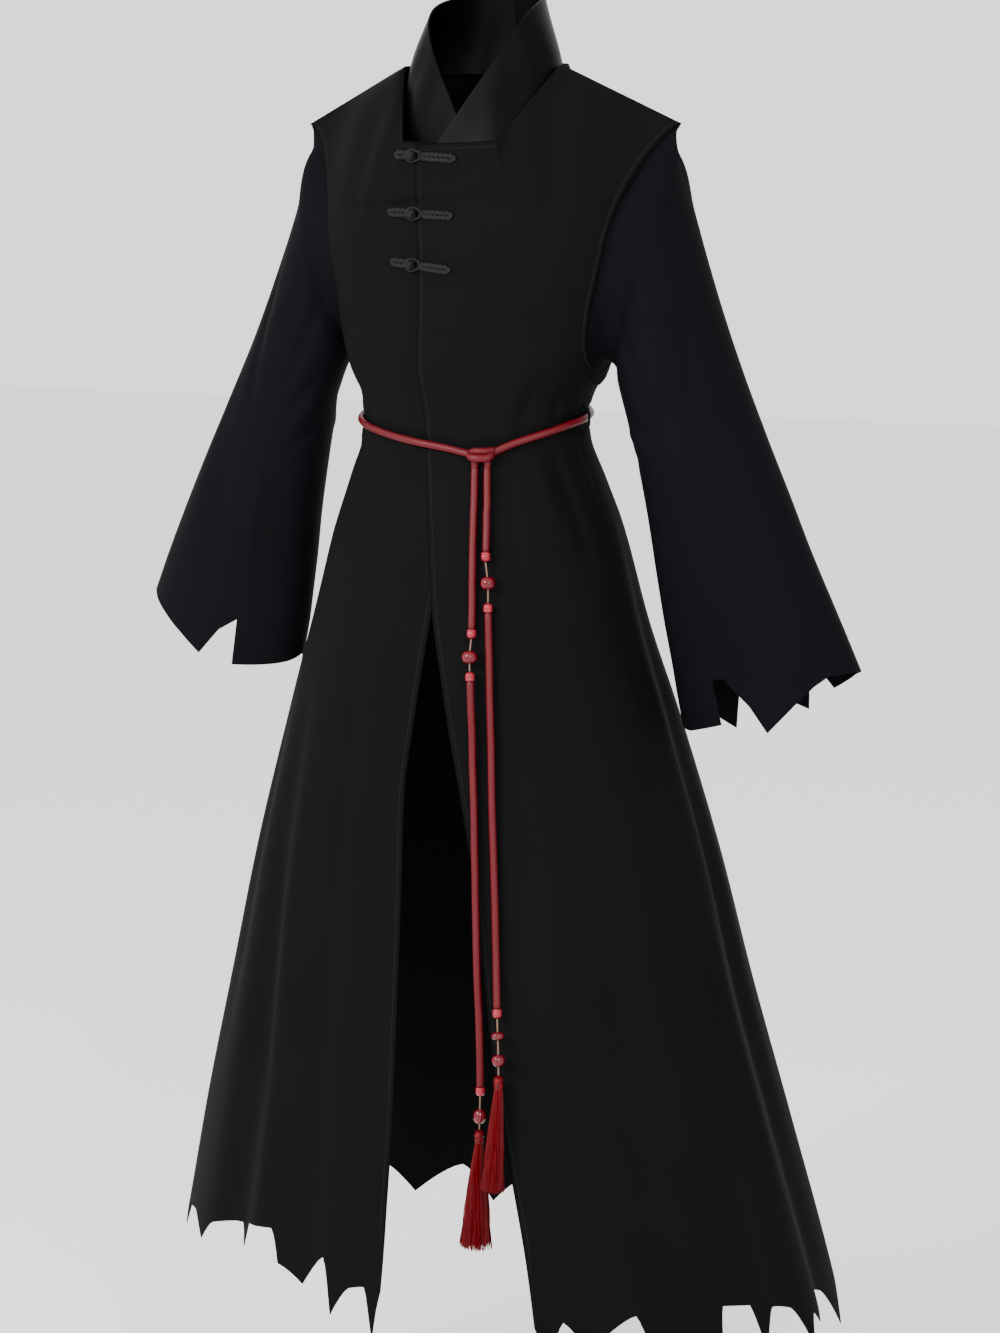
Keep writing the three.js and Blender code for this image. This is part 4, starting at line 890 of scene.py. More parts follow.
def relief(angle, z):
    """Creases of the body, on a map where one degree is as wide as it is at the crease's own height."""
    depth = np.zeros(np.broadcast(angle, z).shape)
    for a0, z0, a1, z1, width, deep in zip(*CREASES.values()):
        middle = (z0 + z1) / 2
        degree = np.radians(1) * float(read(SECTIONS, "side", middle) + read(SECTIONS, "front", middle)) / 2
        off = (angle - a0 + 180) % 360 - 180
        one = [(0.0, z0, (a1 - a0) * degree, z1, width, deep)]
        depth = depth + crease_field(one, off * degree, z)
    wave = np.sin(np.radians(angle * 7) + z / 71) * np.sin(z / 113 + np.radians(angle * 3))
    return depth + 0.35 * wave * smooth(-120, -240, z)


BELT = table("angle height", [
    (14.5, -408.1), (29.1, -405.7), (37, -398.5), (48, -391.5), (60, -385.5), (75, -379), (89, -375),
    (107, -370), (135, -364.5), (158, -362), (180, -361), (202, -362), (225, -364.5), (253, -370),
    (271, -375), (290, -380.5), (307, -385.5), (322, -390), (337, -394.8), (350, -399), (366, -404),
    (374.5, -408.1),
])


def belt_height(angle):
    """Height of the belt at an angle round the waist. It is lowest at the knot, where it begins."""
    knot = BELT["angle"][0]
    return np.interp((np.asarray(angle) - knot) % 360 + knot, BELT["angle"], BELT["height"])


def pinch(angle, z):
    """Cloth drawn in by the belt: it swells above and below the rope, unevenly round the waist."""
    off = z - belt_height(angle)
    uneven = 1 + 0.28 * np.sin(np.radians(5 * angle) + 0.4) + 0.18 * np.sin(np.radians(11 * angle) + 2.1)
    above = 2.6 * np.exp(-((off - 15) / 9) ** 2)
    below = 2.0 * np.exp(-((off + 15) / 10) ** 2)
    return (above + below) * uneven


print("creases:", len(CREASES["depth"]))

# %% [markdown]
# ## Panels
#
# Two fronts and a back are cut from the twill. A panel's top edge follows the neckline and the shoulder,
# its sides follow the closing edge, armhole and side seam, and its hem is a row of torn corners. Between
# the shoulder and the chest the cloth follows a Hermite curve, which leaves the shoulder and arrives on
# the body in given directions, and below the chest it lies on the body.

# %% Corners of the panels
CHEST = -190
LOWEST = -1245
NECK_CORNER = np.array([57, -95, -80.0])
NECK_POINT = np.array([95, -18, 0.0])
SHOULDER_TIP = np.array([226, 0, -62.0])
NECK_BOTTOM = (-97, -84)
NAPE = np.array([0, 66, 4.0])

LEFT_COLUMNS = table("angle hem top", [
    (23.4, -1330, 0), (25, -1374, 0.22), (28.5, -1322, 0.45), (33, -1362, 0.68), (36.5, -1330, 0.86),
    (41.6, -1313, 1), (44, -1364, 1.3), (51, -1344, 1.65), (57, -1370, 2), (59.4, -1306, 2.12),
    (65.9, -1309, 2.25), (68, -1360, 2.38), (72.6, -1318, 2.5), (79, -1325, 2.63), (84, -1370, 2.76),
    (87, -1338, 2.88), (90, -1352, 3),
])
RIGHT_COLUMNS = table("angle hem top", [
    (-3.8, -1314, 0), (-4.8, -1368, 0.2), (-7, -1312, 0.4), (-10, -1317, 0.6), (-13.1, -1351, 0.8),
    (-16, -1290, 1), (-20.1, -1327, 1.35), (-26, -1311, 1.7), (-28.5, -1274, 2), (-36.5, -1281, 2.12),
    (-38.3, -1312, 2.22), (-40.5, -1288, 2.32), (-50, -1301, 2.44), (-54, -1326, 2.54),
    (-62, -1303, 2.64), (-72, -1310, 2.74), (-76, -1342, 2.83), (-80, -1308, 2.92), (-90, -1316, 3),
])
BACK_COLUMNS = table("angle hem top", [
    (90, -1352, 0), (95, -1326, 0.12), (101, -1334, 0.25), (107, -1380, 0.38), (113, -1330, 0.52),
    (122, -1366, 0.66), (128, -1322, 0.8), (137, -1372, 1), (144, -1334, 1.12), (152, -1326, 1.24),
    (160, -1364, 1.38), (168, -1330, 1.52), (178, -1378, 1.65), (184, -1328, 1.77), (194, -1332, 1.89),
    (200, -1366, 2), (206, -1322, 2.15), (215, -1358, 2.3), (222, -1318, 2.45), (231, -1324, 2.58),
    (237, -1354, 2.7), (243, -1310, 2.8), (252, -1346, 2.88), (257, -1308, 2.94), (270, -1316, 3),
])


# %% [markdown]
# A place of 0 to 3 says where a column meets the top edge. On a front, 0 is the closing edge, 1 the corner
# of the neckline, 2 the neck point and 3 the shoulder tip. The back runs from shoulder tip to shoulder tip.

# %% Top edges and the hem
BACK_MIDDLE = 1.5
NECK_SPEED, SHOULDER_SPEED = 105, 150
TEAR_POWER = 1.35


def between(a, b, t):
    """Points on the line from a to b, at shares t."""
    return a + (b - a) * np.asarray(t)[..., None]


def interpolate(at, places, points):
    """Points on a broken line, whose corners lie at given places."""
    return np.stack([np.interp(at, places, points[:, k]) for k in range(3)], -1)


def front_top(place, side):
    """The top edge of a front: along the neckline, up the neck and out on the shoulder."""
    edge = "left" if side > 0 else "right"
    closing = body_point(FRONT_EDGES[edge][0], SECTIONS["z"][0])[0]
    mirror = np.array([side, 1, 1])
    corners = [(closing, *NECK_BOTTOM), *(mirror * [NECK_CORNER, NECK_POINT, SHOULDER_TIP])]
    return interpolate(place, range(len(corners)), np.array(corners))


def fold_back(place):
    """How far a place on the back's top edge lies from the nearer shoulder tip, and on which side."""
    side = np.where(place < BACK_MIDDLE, 1.0, -1.0)
    return np.where(side > 0, place, 2 * BACK_MIDDLE - place), side


def back_top(place):
    """The top edge of the back: in along the shoulder, then round a quarter ellipse to the nape."""
    near, side = fold_back(place)
    turn = (near - 1) * np.pi
    neck = between(NECK_POINT, NAPE, np.sin(turn))
    neck[..., 0] = NECK_POINT[0] * np.cos(turn)
    edge = np.where((near <= 1)[..., None], between(SHOULDER_TIP, NECK_POINT, near), neck)
    edge[..., 0] *= side
    return edge


def yoke_slopes(place, side, facing):
    """How the cloth leaves the top edge, from neckline to shoulder tip, and how fast it meets the chest."""
    start = np.array([0, 13 * facing, -105.0])
    shoulder = np.array([0, 118 * facing, -40.0])
    tip = np.stack([-90.0 * side, 30.0 * facing * np.ones_like(side), -60.0 * np.ones_like(side)], -1)
    to_shoulder = smooth(0.95, 1.6, place)
    leave = between(start, shoulder, to_shoulder)
    leave = leave + (tip - leave) * smooth(2.2, 3, place)[..., None]
    return leave, NECK_SPEED + (SHOULDER_SPEED - NECK_SPEED) * to_shoulder


def fine_places(count, parts):
    """Places along the columns of a table, closer together at both ends, where the edges are sewn."""
    inner = np.linspace(0, 1, parts, endpoint=False)
    places = (np.arange(count - 1)[:, None] + inner).ravel()
    ends = np.array([0.04, 0.09, 0.16, 0.26, 0.4])
    return np.unique(np.round(np.r_[places, count - 1, ends, count - 1 - ends], 4))


def torn(columns, places):
    """The hem between torn corners: each tear curves in, so that the corners hang as points."""
    i = np.clip(places.astype(int), 0, len(columns["hem"]) - 2)
    t = places - i
    a, b = columns["hem"][i], columns["hem"][i + 1]
    bent = np.where(b < a, t ** TEAR_POWER, 1 - (1 - t) ** TEAR_POWER)
    return a + (b - a) * bent


# %% [markdown]
# A front begins at the closing edge and a back at the left side seam. Rows run down the yoke to the chest,
# down the body to the level where the tears begin, and on to the torn hem. Creases are added last.

# %% The panel
SHOULDER_OVERLAP = 0.006
YOKE_ROWS, BODY_ROWS = 36, 172
FAR = 99.0


class Panel:
    """A panel worked out on a fine grid, with the angle and the height of each of its points."""

    def __init__(self, columns, edges, share, top_edge, slopes, parts):
        index = np.arange(len(columns["angle"]))
        self.places = fine_places(len(index), parts)
        self.top = np.interp(self.places, index, columns["top"])
        at_hem = np.interp(self.places, index, columns["angle"])
        self.at_hem = (at_hem - at_hem[0]) / (at_hem[-1] - at_hem[0])
        self.share, self.edges = share(self.top), edges
        self.top_edge, self.slopes = top_edge, slopes
        down_yoke = np.linspace(0, 1, YOKE_ROWS, endpoint=False)[1:] ** 1.15
        down_hem = np.linspace(0, 1, HEM_ROWS)[1:]
        hem = torn(columns, self.places) - LOWEST
        rows = [self.yoke_row(-SHOULDER_OVERLAP * smooth(1.95, 2.2, self.top)[:, None])]
        rows += [self.yoke_row(v) for v in down_yoke]
        rows += [self.body_row(z) for z in np.linspace(CHEST, LOWEST, BODY_ROWS)]
        rows += [self.body_row(LOWEST + hem * part) for part in down_hem]
        flat = np.array([row[0] for row in rows])
        angles, heights = np.array([row[1] for row in rows]), flat[..., 2]
        creased = relief(angles, heights) + pinch(angles, heights)
        self.points = flat + grid_normals(flat) * creased[..., None]

    def marks(self, closing, armholes):
        """Distance from the nearest finished edge and along it: closing edge, neckline and armholes."""
        lengths = grid_lengths(self.points) / MM
        across = lengths[..., 0] - lengths[:, :1, 0]
        down, height = lengths[..., 1], self.points[..., 2]
        from_side = {0: across, -1: across[:, -1:] - across}
        on_neck = np.abs(self.points[:1, :, 0]) < NECK_POINT[0] + 1
        found = [(from_side[column], down) for column in closing]
        found.append((np.where(on_neck, down, FAR), across))
        on_armhole = height > ARMHOLE["z"][-1] + 6
        found += [(np.where(on_armhole, from_side[column], FAR), down) for column in armholes]
        distance, along = np.stack(found, 1)
        nearest = distance.argmin(axis=0)[None]
        marks = [np.take_along_axis(values, nearest, 0)[0] for values in (distance, along)]
        return dict(zip(EDGE_MARKS, (np.minimum(marks[0], FAR), marks[1])))

    def angle_at(self, z):
        """The angle of each column at height z: shares of the chest above, torn corners below."""
        a, b = self.edges(z)
        return a + (b - a) * (self.share + (self.at_hem - self.share) * smooth(CHEST, LOWEST, z))

    def body_row(self, z):
        """A row that lies on the body, and its angles."""
        z = np.full(self.places.shape, z, float)
        angle = self.angle_at(z)
        return body_point(angle, z), angle

    def yoke_row(self, v):
        """A row between the top edge and the chest, at share v of the way, and its angles."""
        end, angle = self.body_row(CHEST)
        slope = (body_point(angle, CHEST - 1) - body_point(angle, CHEST + 1)) / 2
        leave, speed = self.slopes(self.top)
        return hermite(self.top_edge(self.top), leave, end, slope * speed[:, None], v), angle


def side_angle(z):
    """The angle of the armhole's edge, and of the side seam below it."""
    return read(ARMHOLE, "angle", z)


# %% [markdown]
# The three panels differ in their tables, their edges and the way their columns spread over the chest.

# %% The three panels
CHEST_PLACES = ([0, 1, 2, 3], [0, 0.42, 0.6, 1])

left_front = Panel(
    LEFT_COLUMNS,
    lambda z: (read(FRONT_EDGES, "left", z), side_angle(z)),
    lambda top: np.interp(top, *CHEST_PLACES),
    lambda top: front_top(top, 1),
    lambda top: yoke_slopes(top, np.ones_like(top), -1),
    5,
)
right_front = Panel(
    {name: values[::-1] for name, values in RIGHT_COLUMNS.items()},
    lambda z: (-side_angle(z), read(FRONT_EDGES, "right", z)),
    lambda top: 1 - np.interp(top, *CHEST_PLACES),
    lambda top: front_top(top, -1),
    lambda top: yoke_slopes(top, -np.ones_like(top), -1),
    4,
)


def back_share(top):
    """How far across the chest a column of the back lies."""
    near, side = fold_back(top)
    across = np.where(near <= 1, 0.27 * near, 0.27 + 0.46 * (near - 1))
    return np.where(side > 0, across, 1 - across)


def back_slopes(top):
    """The back leaves its top edge as the fronts do, mirrored to the rear."""
    near, side = fold_back(top)
    return yoke_slopes(3 - 1.5 * near, side, 1)


back = Panel(
    BACK_COLUMNS,
    lambda z: (180 - side_angle(z), 180 + side_angle(z)),
    back_share,
    back_top,
    back_slopes,
    6,
)
print("panel grids:", left_front.points.shape, right_front.points.shape, back.points.shape)

# %% [markdown]
# The left front laps over the right one down to the top of the slit. The hidden edge of the right front is
# pressed in there, so the two layers lie on each other without touching.

# %% Lap of the fronts and the three cloth shells
LAP_DEPTH, LAP_BEGINS, LAP_COMPLETE = 2.2, 26, 4
SLIT_BLEND, LAP_LOWEST = (-600, -760), -1300
ROLLED_IN, DOUBLED = 1.1, 0.5

heights = right_front.points[..., 2]
edge_x = body_point(read(FRONT_EDGES, "left", heights), np.maximum(heights, LAP_LOWEST))[..., 0]
lapped = smooth(edge_x - LAP_BEGINS, edge_x - LAP_COMPLETE, right_front.points[..., 0])
lapped = lapped * (1 - smooth(*SLIT_BLEND, heights))
right_front.points -= grid_normals(right_front.points) * (LAP_DEPTH * lapped)[..., None]

left_marks = left_front.marks([0], [-1])
edge_mm = left_marks["edge_mm"]
edge_roll = DOUBLED * (1 - smooth(5, 7, edge_mm)) - ROLLED_IN * (1 - smooth(0, 2.4, edge_mm))
left_front.points = left_front.points + grid_normals(left_front.points) * edge_roll[..., None]
PANELS = {
    "front_left": (left_front, left_marks, (0.36, 1.44)),
    "front_right": (right_front, right_front.marks([-1], [0]), (0.46, 1.37)),
    "back": (back, back.marks([], [0, -1]), (0.99, 1.46)),
}
for node, (panel, marks, cut) in PANELS.items():
    piece, area = make_shell(
        node + "_cloth", [node, node + "_skirt"], "coat_cloth", COAT_TWILL, panel.points, THICKNESS, marks)

# %% [markdown]
# ## Sleeves
#
# The wide sleeves belong to the robe under the coat. Each begins as a ring inside the armhole and widens
# to a torn cuff. Sections are ellipses between an outer and an inner edge line, and a Catmull-Rom curve
# through the sections gives the smooth tube. Soft folds fall from the underarm and gather at the elbow.

# %% Sleeve sections, cuffs and creases
SLEEVE = table("ox oy oz ix iy iz depth", [
    (225, 2, -98, 160, -10, -320, 46),
    (236, 6, -148, 171, -20, -343, 50),
    (266, 4, -240, 186, -25, -385, 53),
    (296, 2, -318, 196, -21, -430, 54),
    (329, 0, -394, 205, -18, -482, 54),
    (356, -2, -452, 213, -16, -535, 54),
    (381, -3, -508, 220, -12, -586, 53),
    (409, 0, -569, 229, -8, -640, 52),
    (437, 4, -632, 238, -5, -698, 51),
])
RIGHT_SLEEVE_DROP = 0.925
LEFT_CUFF = table("turn drop", [
    (0, 0), (22, -2), (38, -4), (50, 2), (66, 16), (86, 36), (92, 4), (110, -52), (114, 15), (146, 13),
    (180, 2), (200, 14), (215, 0), (231, 26), (239, -8), (262, 4), (279, 27), (289, -26), (301, 12),
    (328, 3),
])
RIGHT_CUFF = table("turn drop", [
    (0, 0), (26, 8), (50, 19), (72, 32), (89, 44), (99, 8), (110, -12), (114, 42), (138, 30), (160, 20),
    (180, 10), (202, 24), (214, 0), (236, 10), (248, 30), (257, -16), (276, 6), (292, 26), (304, -4),
    (330, 2),
])
SLEEVE_CREASES = [
    (40, 120, 75, 330, 11, -2.4),
    (95, 60, 62, 210, 12, 2.2),
    (120, 40, 110, 230, 11, -2.8),
    (150, 150, 118, 250, 9, -2.4),
    (158, 190, 122, 268, 8, 2.0),
    (165, 235, 128, 292, 9, -2.2),
    (100, 290, 112, 520, 15, 2.4),
    (60, 330, 66, 560, 17, -2.6),
    (30, 250, 36, 520, 14, 1.8),
    (235, 80, 262, 300, 13, -2.4),
    (205, 170, 240, 262, 10, -2.6),
    (212, 225, 246, 310, 9, 2.0),
    (270, 300, 262, 540, 16, -2.6),
    (300, 260, 304, 520, 14, 2.2),
    (330, 200, 322, 470, 13, -1.8),
]
SLEEVE_COLUMNS, SLEEVE_ROWS = 120, 118
SLEEVE_LENGTH, CREASE_MAP_LENGTH = 620, 640
CREASE_RADIUS = 80.0
ARMHOLE_TUCK = 4.0
SEAT_GAP = 1.6


def armhole_edge(front, side):
    """The armhole as a ring: from the shoulder tip down the front, under the arm and up the back.

    The first ring is the edge itself. The second is the sleeve's seat, which lies under the cloth.
    """
    outer, inner = (-1, 0) if side > 0 else (0, -1)
    lowest = int(np.argmin(np.abs(front.points[:, outer, 2] - ARMHOLE["z"][-1])))
    halves = []
    for panel, column in ((front, outer), (back, inner)):
        line = panel.points[:lowest + 1, column]
        outward = grid_normals(panel.points)[:lowest + 1, column]
        travel = travelled(line)
        even = np.linspace(0, travel[-1], SLEEVE_COLUMNS // 2 + 1)
        edge = interpolate(even, travel, line)
        normal = unit(interpolate(even, travel, outward))
        share = even[:, None] / travel[-1]
        away = unit(edge - edge.mean(axis=0))
        away = away - normal * (away * normal).sum(axis=-1, keepdims=True)
        drop = smooth(0.8, 1.0, share) * np.array([0, 0, 14.0])
        tuck = away * ARMHOLE_TUCK * np.sin(np.pi * share) ** 0.5
        halves.append(np.stack([edge, edge - normal * (THICKNESS + SEAT_GAP) - drop + tuck]))
    return np.concatenate([halves[0][:, :-1], halves[1][:, :0:-1]], axis=1)


def no_edges(grid):
    """Marks for cloth with no stitched edge in sight."""
    return {name: np.full(grid.shape[:2], FAR) for name in EDGE_MARKS}


def columns_of(rows, letters):
    """Points made of three columns of a table."""
    return np.stack([rows[letter] for letter in letters.split()], -1)


def make_sleeve(node, front, side, drop, cuff):
    """Rings from the armhole to the cuff, joined by a smooth curve and creased on a flat map."""
    edge, seat = armhole_edge(front, side)
    mouth = edge + (edge.mean(axis=0) - edge) * 0.08
    lift = np.array([0, 0, SHOULDER_TIP[2] * (1 - drop)])
    outer, inner = (columns_of(SLEEVE, names) * [side, 1, drop] + lift for names in ("ox oy oz", "ix iy iz"))
    centre, reach = (outer + inner) / 2, (outer - inner) / 2
    even = np.arange(SLEEVE_COLUMNS) * 360 / SLEEVE_COLUMNS
    corners = np.arange(len(cuff["turn"]) + 1) * 360 / len(cuff["turn"])
    cuff_turn = np.interp(even, corners, np.r_[cuff["turn"], 360])
    sections = len(SLEEVE["depth"])
    to_cuff = smooth(2, sections - 1, np.arange(sections))[:, None]
    turn = np.radians(even + (cuff_turn - even) * to_cuff)
    rings = centre[:, None] + reach[:, None] * np.cos(turn)[..., None]
    rings[..., 1] -= SLEEVE["depth"][:, None] * np.sin(turn)
    grid = catmull_rom(np.concatenate([seat[None], mouth[None], rings]), SLEEVE_ROWS)
    tears = np.interp(even, corners, np.r_[cuff["drop"], cuff["drop"][0]])
    share = np.linspace(0, 1, SLEEVE_ROWS)[:, None]
    grid = grid + (smooth(0.93, 1.0, share) * tears)[..., None] * unit(centre[-1] - centre[-2])
    creases = [
        (np.radians(a0) * CREASE_RADIUS, z0, np.radians(a1) * CREASE_RADIUS, z1, width, depth)
        for a0, z0, a1, z1, width, depth in SLEEVE_CREASES
    ]
    down = share * SLEEVE_LENGTH * drop * (CREASE_MAP_LENGTH / SLEEVE_LENGTH)
    depth = crease_field(creases, np.radians(even)[None] * CREASE_RADIUS, down) * smooth(0.04, 0.12, share)
    grid = grid + grid_normals(grid, ring=True) * -side * depth[..., None]
    if side > 0:
        grid = grid[:, ::-1]
    piece, area = make_shell(
        node + "_cloth", [node], "sleeve_cloth", SLEEVE_TWILL, grid, THICKNESS, no_edges(grid), ring=True)


make_sleeve("sleeve_left", left_front, 1, 1.0, LEFT_CUFF)
make_sleeve("sleeve_right", right_front, -1, RIGHT_SLEEVE_DROP, RIGHT_CUFF)

# %% [markdown]
# ## Collar
#
# A stiffened band runs from the nape down each side and crosses over the chest, the wearer's left over the
# right. It is a ruled strip between an upper and a lower edge, slightly rounded outwards.

# %% Collar bands
COLLAR = table("ux uy uz lx ly lz", [
    (0, 60, 82, 0, 61, -8),
    (30, 52, 80, 38, 52, -8),
    (51, 31, 75, 64, 34, -8),
    (60, 4, 69, 84, 12, -8),
    (61, -20, 59, 90, -15, -9),
    (55, -40, 42, 84.3, -36.3, -26),
    (43, -54, 16, 74.2, -58, -52),
    (28, -65, -9, 59, -80.5, -80),
    (14, -73.5, -32, 42, -91, -104),
    (0, -81, -55, 20, -94, -120),
    (-16, -87, -80, -2, -95, -134),
    (-30, -90.5, -102, -20, -96, -146),
])
HIDDEN_EDGE = np.array([(8, 13, -2), (16, 16, -2), (15, 11, -3), (8, 4, -3)], float)
COLLAR_THICKNESS, COLLAR_BULGE = 1.9, 2.6
BEHIND = 4.9


def make_collar(node, side):
    """A strip between two edges, rounded by a sine across it. The right band runs behind the left one."""
    upper, lower = columns_of(COLLAR, "ux uy uz"), columns_of(COLLAR, "lx ly lz")
    if side < 0:
        lower[6:10] += HIDDEN_EDGE
    edges = catmull_rom(np.stack([upper, lower], 1), 110)
    share = np.r_[0, 0.02, np.linspace(0.05, 0.95, 17), 0.98, 1]
    grid = between(edges[None, :, 0], edges[None, :, 1], share[:, None])
    bulge = COLLAR_BULGE * np.sin(np.pi * share ** 1.3)
    grid = grid + unit(grid * [1, 1, 0]) * bulge[:, None, None]
    index = np.linspace(0, len(COLLAR["ux"]) - 1, grid.shape[1])
    if side < 0:
        grid[..., 1] += BEHIND * smooth(6, 8.5, index)
    grid[..., 0] *= side
    if side > 0:
        grid = grid[:, ::-1]
    piece, area = make_shell(
        node + "_band", [node], "collar_cloth", COLLAR_SATIN, grid, COLLAR_THICKNESS, no_edges(grid))


make_collar("collar_left", 1)
make_collar("collar_right", -1)

# %% [markdown]
# ## The rope belt and its knot
#
# The rope goes once round the waist, highest at the back and lowest at the knot, and just clear of the
# cloth. At the knot both its ends run in under two turns of rope, which are wrapped over the tops of the
# hanging strands. The belt is held by the coat all the way, so it is a plain tube round the body.

# %% Belt, knot and belt loops
BELT_CLEAR = 0.8
KNOT = np.array([54, -124.3, -410])
KNOT_ANGLE = 21.6

knot_out = unit(body_normal(KNOT_ANGLE, KNOT[2]) * [1, 1, 0])
knot_across = np.array([-knot_out[1], knot_out[0], 0])


def in_knot(points):
    """Places given as across, up and out from the middle of the knot."""
    points = np.array(points, float)
    return KNOT + points[:, :1] * knot_across + points[:, 1:2] * [0, 0, 1] + points[:, 2:] * knot_out


angles, heights = BELT["angle"][1:], BELT["height"][1:]
outward = unit(body_normal(angles, heights) * [1, 1, 0])
belt_line = body_point(angles, heights) + outward * (ROPE_RADIUS + BELT_CLEAR)
belt_line = np.vstack([in_knot([(6, 1.5, -0.6)]), belt_line, in_knot([(-6, 0, -0.6)])])
belt_tube = tube(fine_line(belt_line, 2.5), ROPE_RADIUS, (0, 0, 1), 24)
make_piece("belt_rope_cord", ["belt_rope"], "rope", SATIN_CORD, belt_tube)

strands = [
    [(-6.7, -15, 0), (-6.9, -8, 0), (-6.2, -1, 0.4), (-2.5, 3.4, 0.8)],
    [(6.7, -15, 0), (6.8, -8, 0), (6.2, -1, 0.4), (8, 4, 0)],
]
wraps = [
    ([(-8, 3, -2.5), (-11.4, -0.6, 2.6), (-6, -2.2, 7.2), (2, -2.5, 8), (8.4, -1.9, 6.4), (11.2, 0.8, 1.6),
      (8, 3.4, -2.5)], 4.4),
    ([(-11.5, 2.6, -0.6), (-7, 4.3, 3.0), (-1, 4.8, 5.6), (5, 4.7, 4.8), (10, 5.2, 1.4),
      (14, 6, -0.6)], 3.9),
]
turns = [(route, ROPE_RADIUS - 0.05, knot_out) for route in strands]
turns += [(route, radius, (0, 0, 1)) for route, radius in wraps]
knot_tubes = [tube(fine_line(in_knot(route), 1), radius, up, 24) for route, radius, up in turns]
make_piece("belt_knot_cord", ["belt_knot"], "rope", SATIN_CORD, join(knot_tubes))


def make_belt_loop(node, side):
    """A narrow bar of cloth that leaves the side seam, stands over the rope and comes back to it."""
    z = float(np.interp(90 if side > 0 else 270, angles, heights))
    seat = body_point(90 * side, z)
    up = np.array([16.4, 15.8, 13.4, 9.6, 6.1, 0, -6.1, -9.6, -13.4, -15.8, -16.4])
    out = np.array([2.1, 3.0, 6.6, 10.0, 11.6, 11.9, 11.6, 10.0, 6.6, 3.0, 2.1])
    flare = np.abs(body_point(90 * side, z + up)[..., 0]) - abs(seat[0])
    out = np.where(np.abs(up) > 14, out + flare + 0.4, out)
    bar = catmull_rom(np.stack([seat[0] + side * out, np.full(len(up), seat[1]), z + up], -1), 60)
    across = np.linspace(-2.5, 2.5, 7) * -side
    grid = bar[:, None] + across[None, :, None] * np.array([0, 1, 0])
    grid[..., 0] -= side * 0.35 * (np.abs(across) / 2.5) ** 4
    grid = grid[:, ::-1]
    make_shell(node + "_cloth", [node], "coat_cloth", COAT_TWILL, grid, THICKNESS, no_edges(grid))


make_belt_loop("belt_loop_left", 1)
make_belt_loop("belt_loop_right", -1)

# %% [markdown]
# ## Frogs
#
# Each frog is made of plaited cord, sewn down in two rows side by side. On the right front the cord ends in
# a ball, knotted from the same cord, and on the left front in a loop that goes over the ball. The rows
# follow the cloth, so their depth is read from the panel's own surface. Each frog is given by the place of
# its ball, both ends of its rows, and how far it sinks towards the left.

# %% Frogs
FROGS = [
    (-42, -96, -64, 9, 3),
    (-37, -157, -67, 10, 2),
    (-36, -211, -61, 10, 5),
]
CORE_PROFILE = [(0, -3.9), (2.1, -3.3), (3.4, -1.9), (3.9, 0), (3.4, 1.9), (2.1, 3.3), (0, 3.9)]


def cloth_depth(panel, x, z):
    """The depth of a front's outer surface at places seen from the front, from the nearest point's plane."""
    points = panel.points.reshape(-1, 3)
    normals = grid_normals(panel.points).reshape(-1, 3)
    off = (points[:, None, 0] - x) ** 2 + (points[:, None, 2] - z) ** 2
    k = off.argmin(axis=0)
    p, n = points[k], normals[k]
    return p[:, 1] - (n[:, 0] * (x - p[:, 0]) + n[:, 2] * (z - p[:, 2])) / n[:, 1]


def plait(panel, x, z, radius):
    """A plaited cord that lies on a front along given places."""
    line = catmull_rom(np.stack([x, np.zeros(len(x)), z], -1), 90)
    depth = cloth_depth(panel, line[:, 0], line[:, 2]) - radius * 0.55
    line[:, 1] = np.convolve(np.pad(depth, 4, mode="edge"), np.ones(9) / 9, mode="valid")
    return tube(fine_line(line, 0.6), radius, (0, 1, 0), 18, flat=0.75, twist=(2, 11.0, 0.45))


def wing(panel, start, end, height, start_gap):
    """Two rows of plait from the closing edge to a round end: out along the top, back along the bottom."""
    x = start + (end - np.sign(end - start) * 2.6 - start) * np.array([0, 0.3, 0.6, 0.85, 1.0])
    gap = np.array([start_gap, 2.3, 2.4, 2.4, 2.2])
    z = np.r_[height(x) + gap, height(end), (height(x) - gap)[::-1]]
    return plait(panel, np.r_[x, end, x[::-1]], z, 2.9)


def ball(centre, radius, cord):
    """A knotted ball: one cord weaves round a sphere, up and down between its poles."""
    t = np.linspace(0, 2 * np.pi, 160)
    turn, rise = 3 * t, np.radians(58) * np.sin(4 * t)
    reach = (radius - cord) * (1 + 0.08 * np.cos(8 * t + 0.6))
    line = centre + np.stack([
        reach * np.cos(rise) * np.cos(turn), -reach * np.sin(rise), reach * np.cos(rise) * np.sin(turn)], -1)
    return tube(fine_line(line, 0.7), cord, (0.2, 1, 0.1), 10, twist=(3, 4, 0.2))


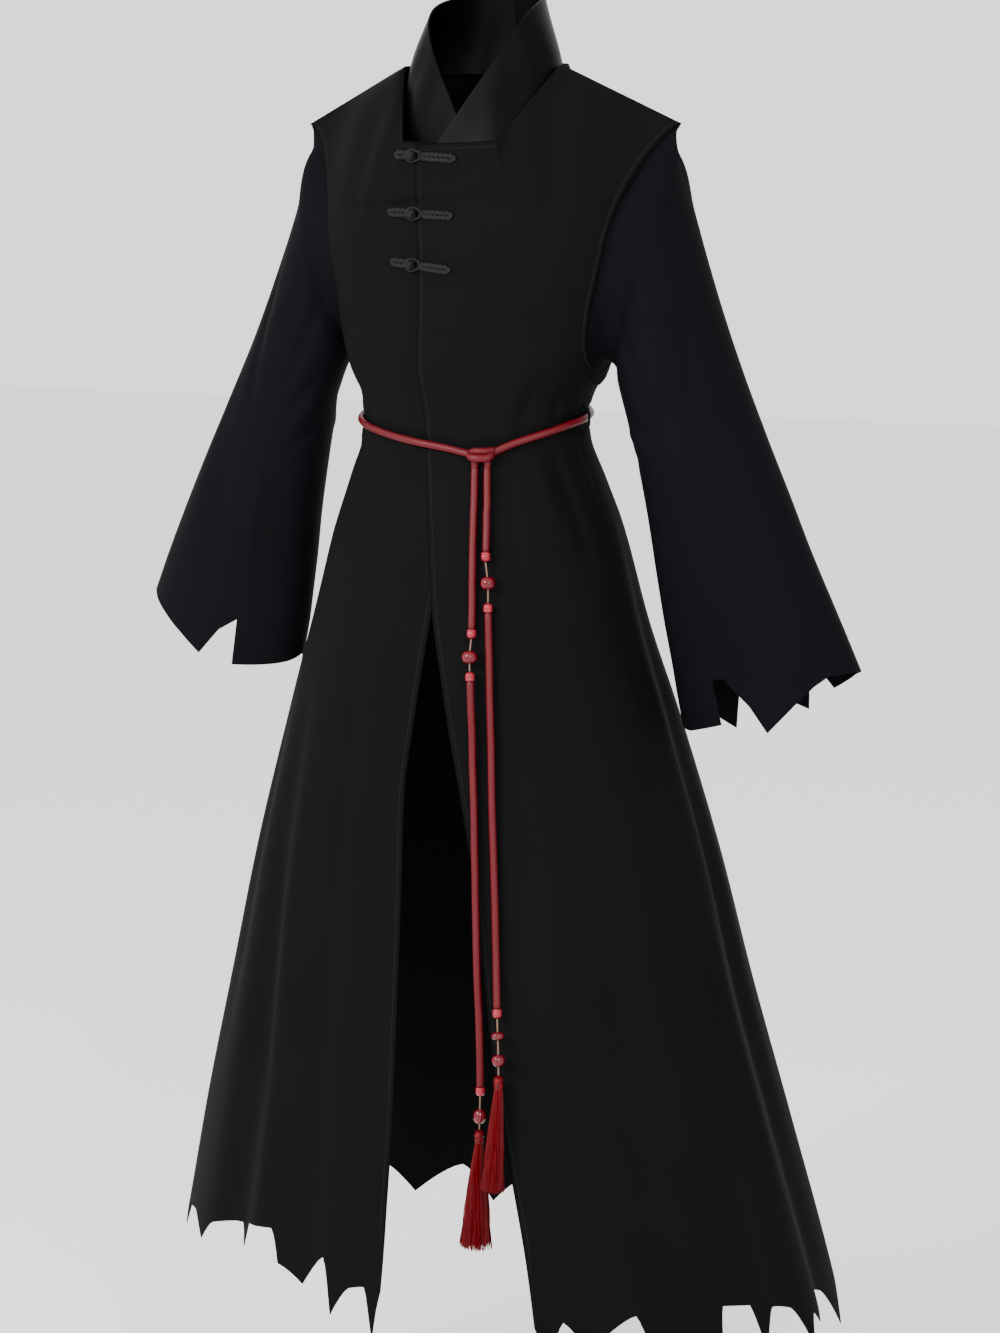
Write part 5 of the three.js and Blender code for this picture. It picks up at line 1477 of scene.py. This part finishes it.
def make_frog(number, knot_x, z, right_end, left_end, sink):
    """The ball with its rows on the right front, and the loop with its rows on the left front."""
    def height(x):
        return z - sink * (x - knot_x) / (left_end - knot_x)

    lap = cloth_depth(right_front, [knot_x], [z])[0]
    level = cloth_depth(left_front, [knot_x + 7.5], [z])[0] - 3.4
    shank = fine_line([(knot_x, lap - 0.6, z), (knot_x, lap - 3, z), (knot_x, lap - 6, z)], 0.5)
    knot = [
        wing(right_front, knot_x + 3, right_end, height, 2.0),
        tube(shank, 2.0, (1, 0, 0), 16, twist=(3, 6, 0.2)),
        ball(np.array([knot_x, lap - 9.0, z]), 5.4, 1.9),
        lathe(CORE_PROFILE, (knot_x, lap - 9.2, z), (0, -1, 0), 20),
    ]
    start = knot_x + 8
    bend = [(start + 4, 2.6), (start, 4.4), (knot_x + 3, 6.2), (knot_x - 3.4, 5.2)]
    bend = bend + [(knot_x - 6.6, 0)] + [(x, -up) for x, up in reversed(bend)]
    line = fine_line([(x, level, z + up) for x, up in bend], 0.6)
    loop = [
        wing(left_front, start, left_end, height, 1.6),
        tube(line, 1.5, (0, 1, 0), 12, twist=(3, 4.5, 0.2)),
    ]
    for half, surfaces in (("knot", knot), ("loop", loop)):
        node = f"frog_{number}_{half}"
        make_piece(node + "_braid", [node], "braid", BLACK_BRAID, join(surfaces), sharp=60)


for number, frog in enumerate(FROGS, 1):
    make_frog(number, *frog)
print("frogs:", len(FROGS))

# %% [markdown]
# ## Floor and light
#
# The coat is seen on a plain pale ground in soft, even studio light, with a broad lamp in front on the
# viewer's left, so that the fronts are a little lighter than the far side.

# %% Floor and light
FLOOR_Z = -1.62
FLOOR_REACH = 14
WORLD_STRENGTH = 1.7

floor_material, _, floor_shader = new_material("pale_studio_paper")
floor_shader.inputs["Base Color"].default_value = linear("#f4f4f4")
floor_shader.inputs["Roughness"].default_value = 0.9
floor_mesh = bpy.data.meshes.new("floor")
corners = [(x * FLOOR_REACH, y * FLOOR_REACH, FLOOR_Z) for x, y in ((-1, -1), (1, -1), (1, 1), (-1, 1))]
floor_mesh.from_pydata(corners, [], [(0, 1, 2, 3)])
floor_mesh.materials.append(floor_material)
floor = bpy.data.objects.new("floor", floor_mesh)
bpy.context.scene.collection.objects.link(floor)

world = bpy.data.worlds.new("studio")
bpy.context.scene.world = world
world.use_nodes = True
world.node_tree.nodes["Background"].inputs["Color"].default_value = linear("#ffffff")
world.node_tree.nodes["Background"].inputs["Strength"].default_value = WORLD_STRENGTH


def add_lamp(name, place, size, power):
    """A square area lamp that faces the middle of the coat."""
    data = bpy.data.lights.new(name, "AREA")
    data.size = size
    data.energy = power
    lamp = bpy.data.objects.new(name, data)
    bpy.context.scene.collection.objects.link(lamp)
    lamp.location = place
    lamp.rotation_euler = (LOOK_AT - lamp.location).to_track_quat("-Z", "Y").to_euler()


add_lamp("key", (-1.6, -3.4, 1.2), 1.6, 160)
add_lamp("fill", (2.6, -3.0, 0.6), 2.0, 50)
add_lamp("bead_spark_left", (-0.5, -3.6, 1.0), 0.16, 36)
add_lamp("bead_spark_right", (2.3, -2.9, 1.0), 0.16, 36)
print("floor at", FLOOR_Z, "m")
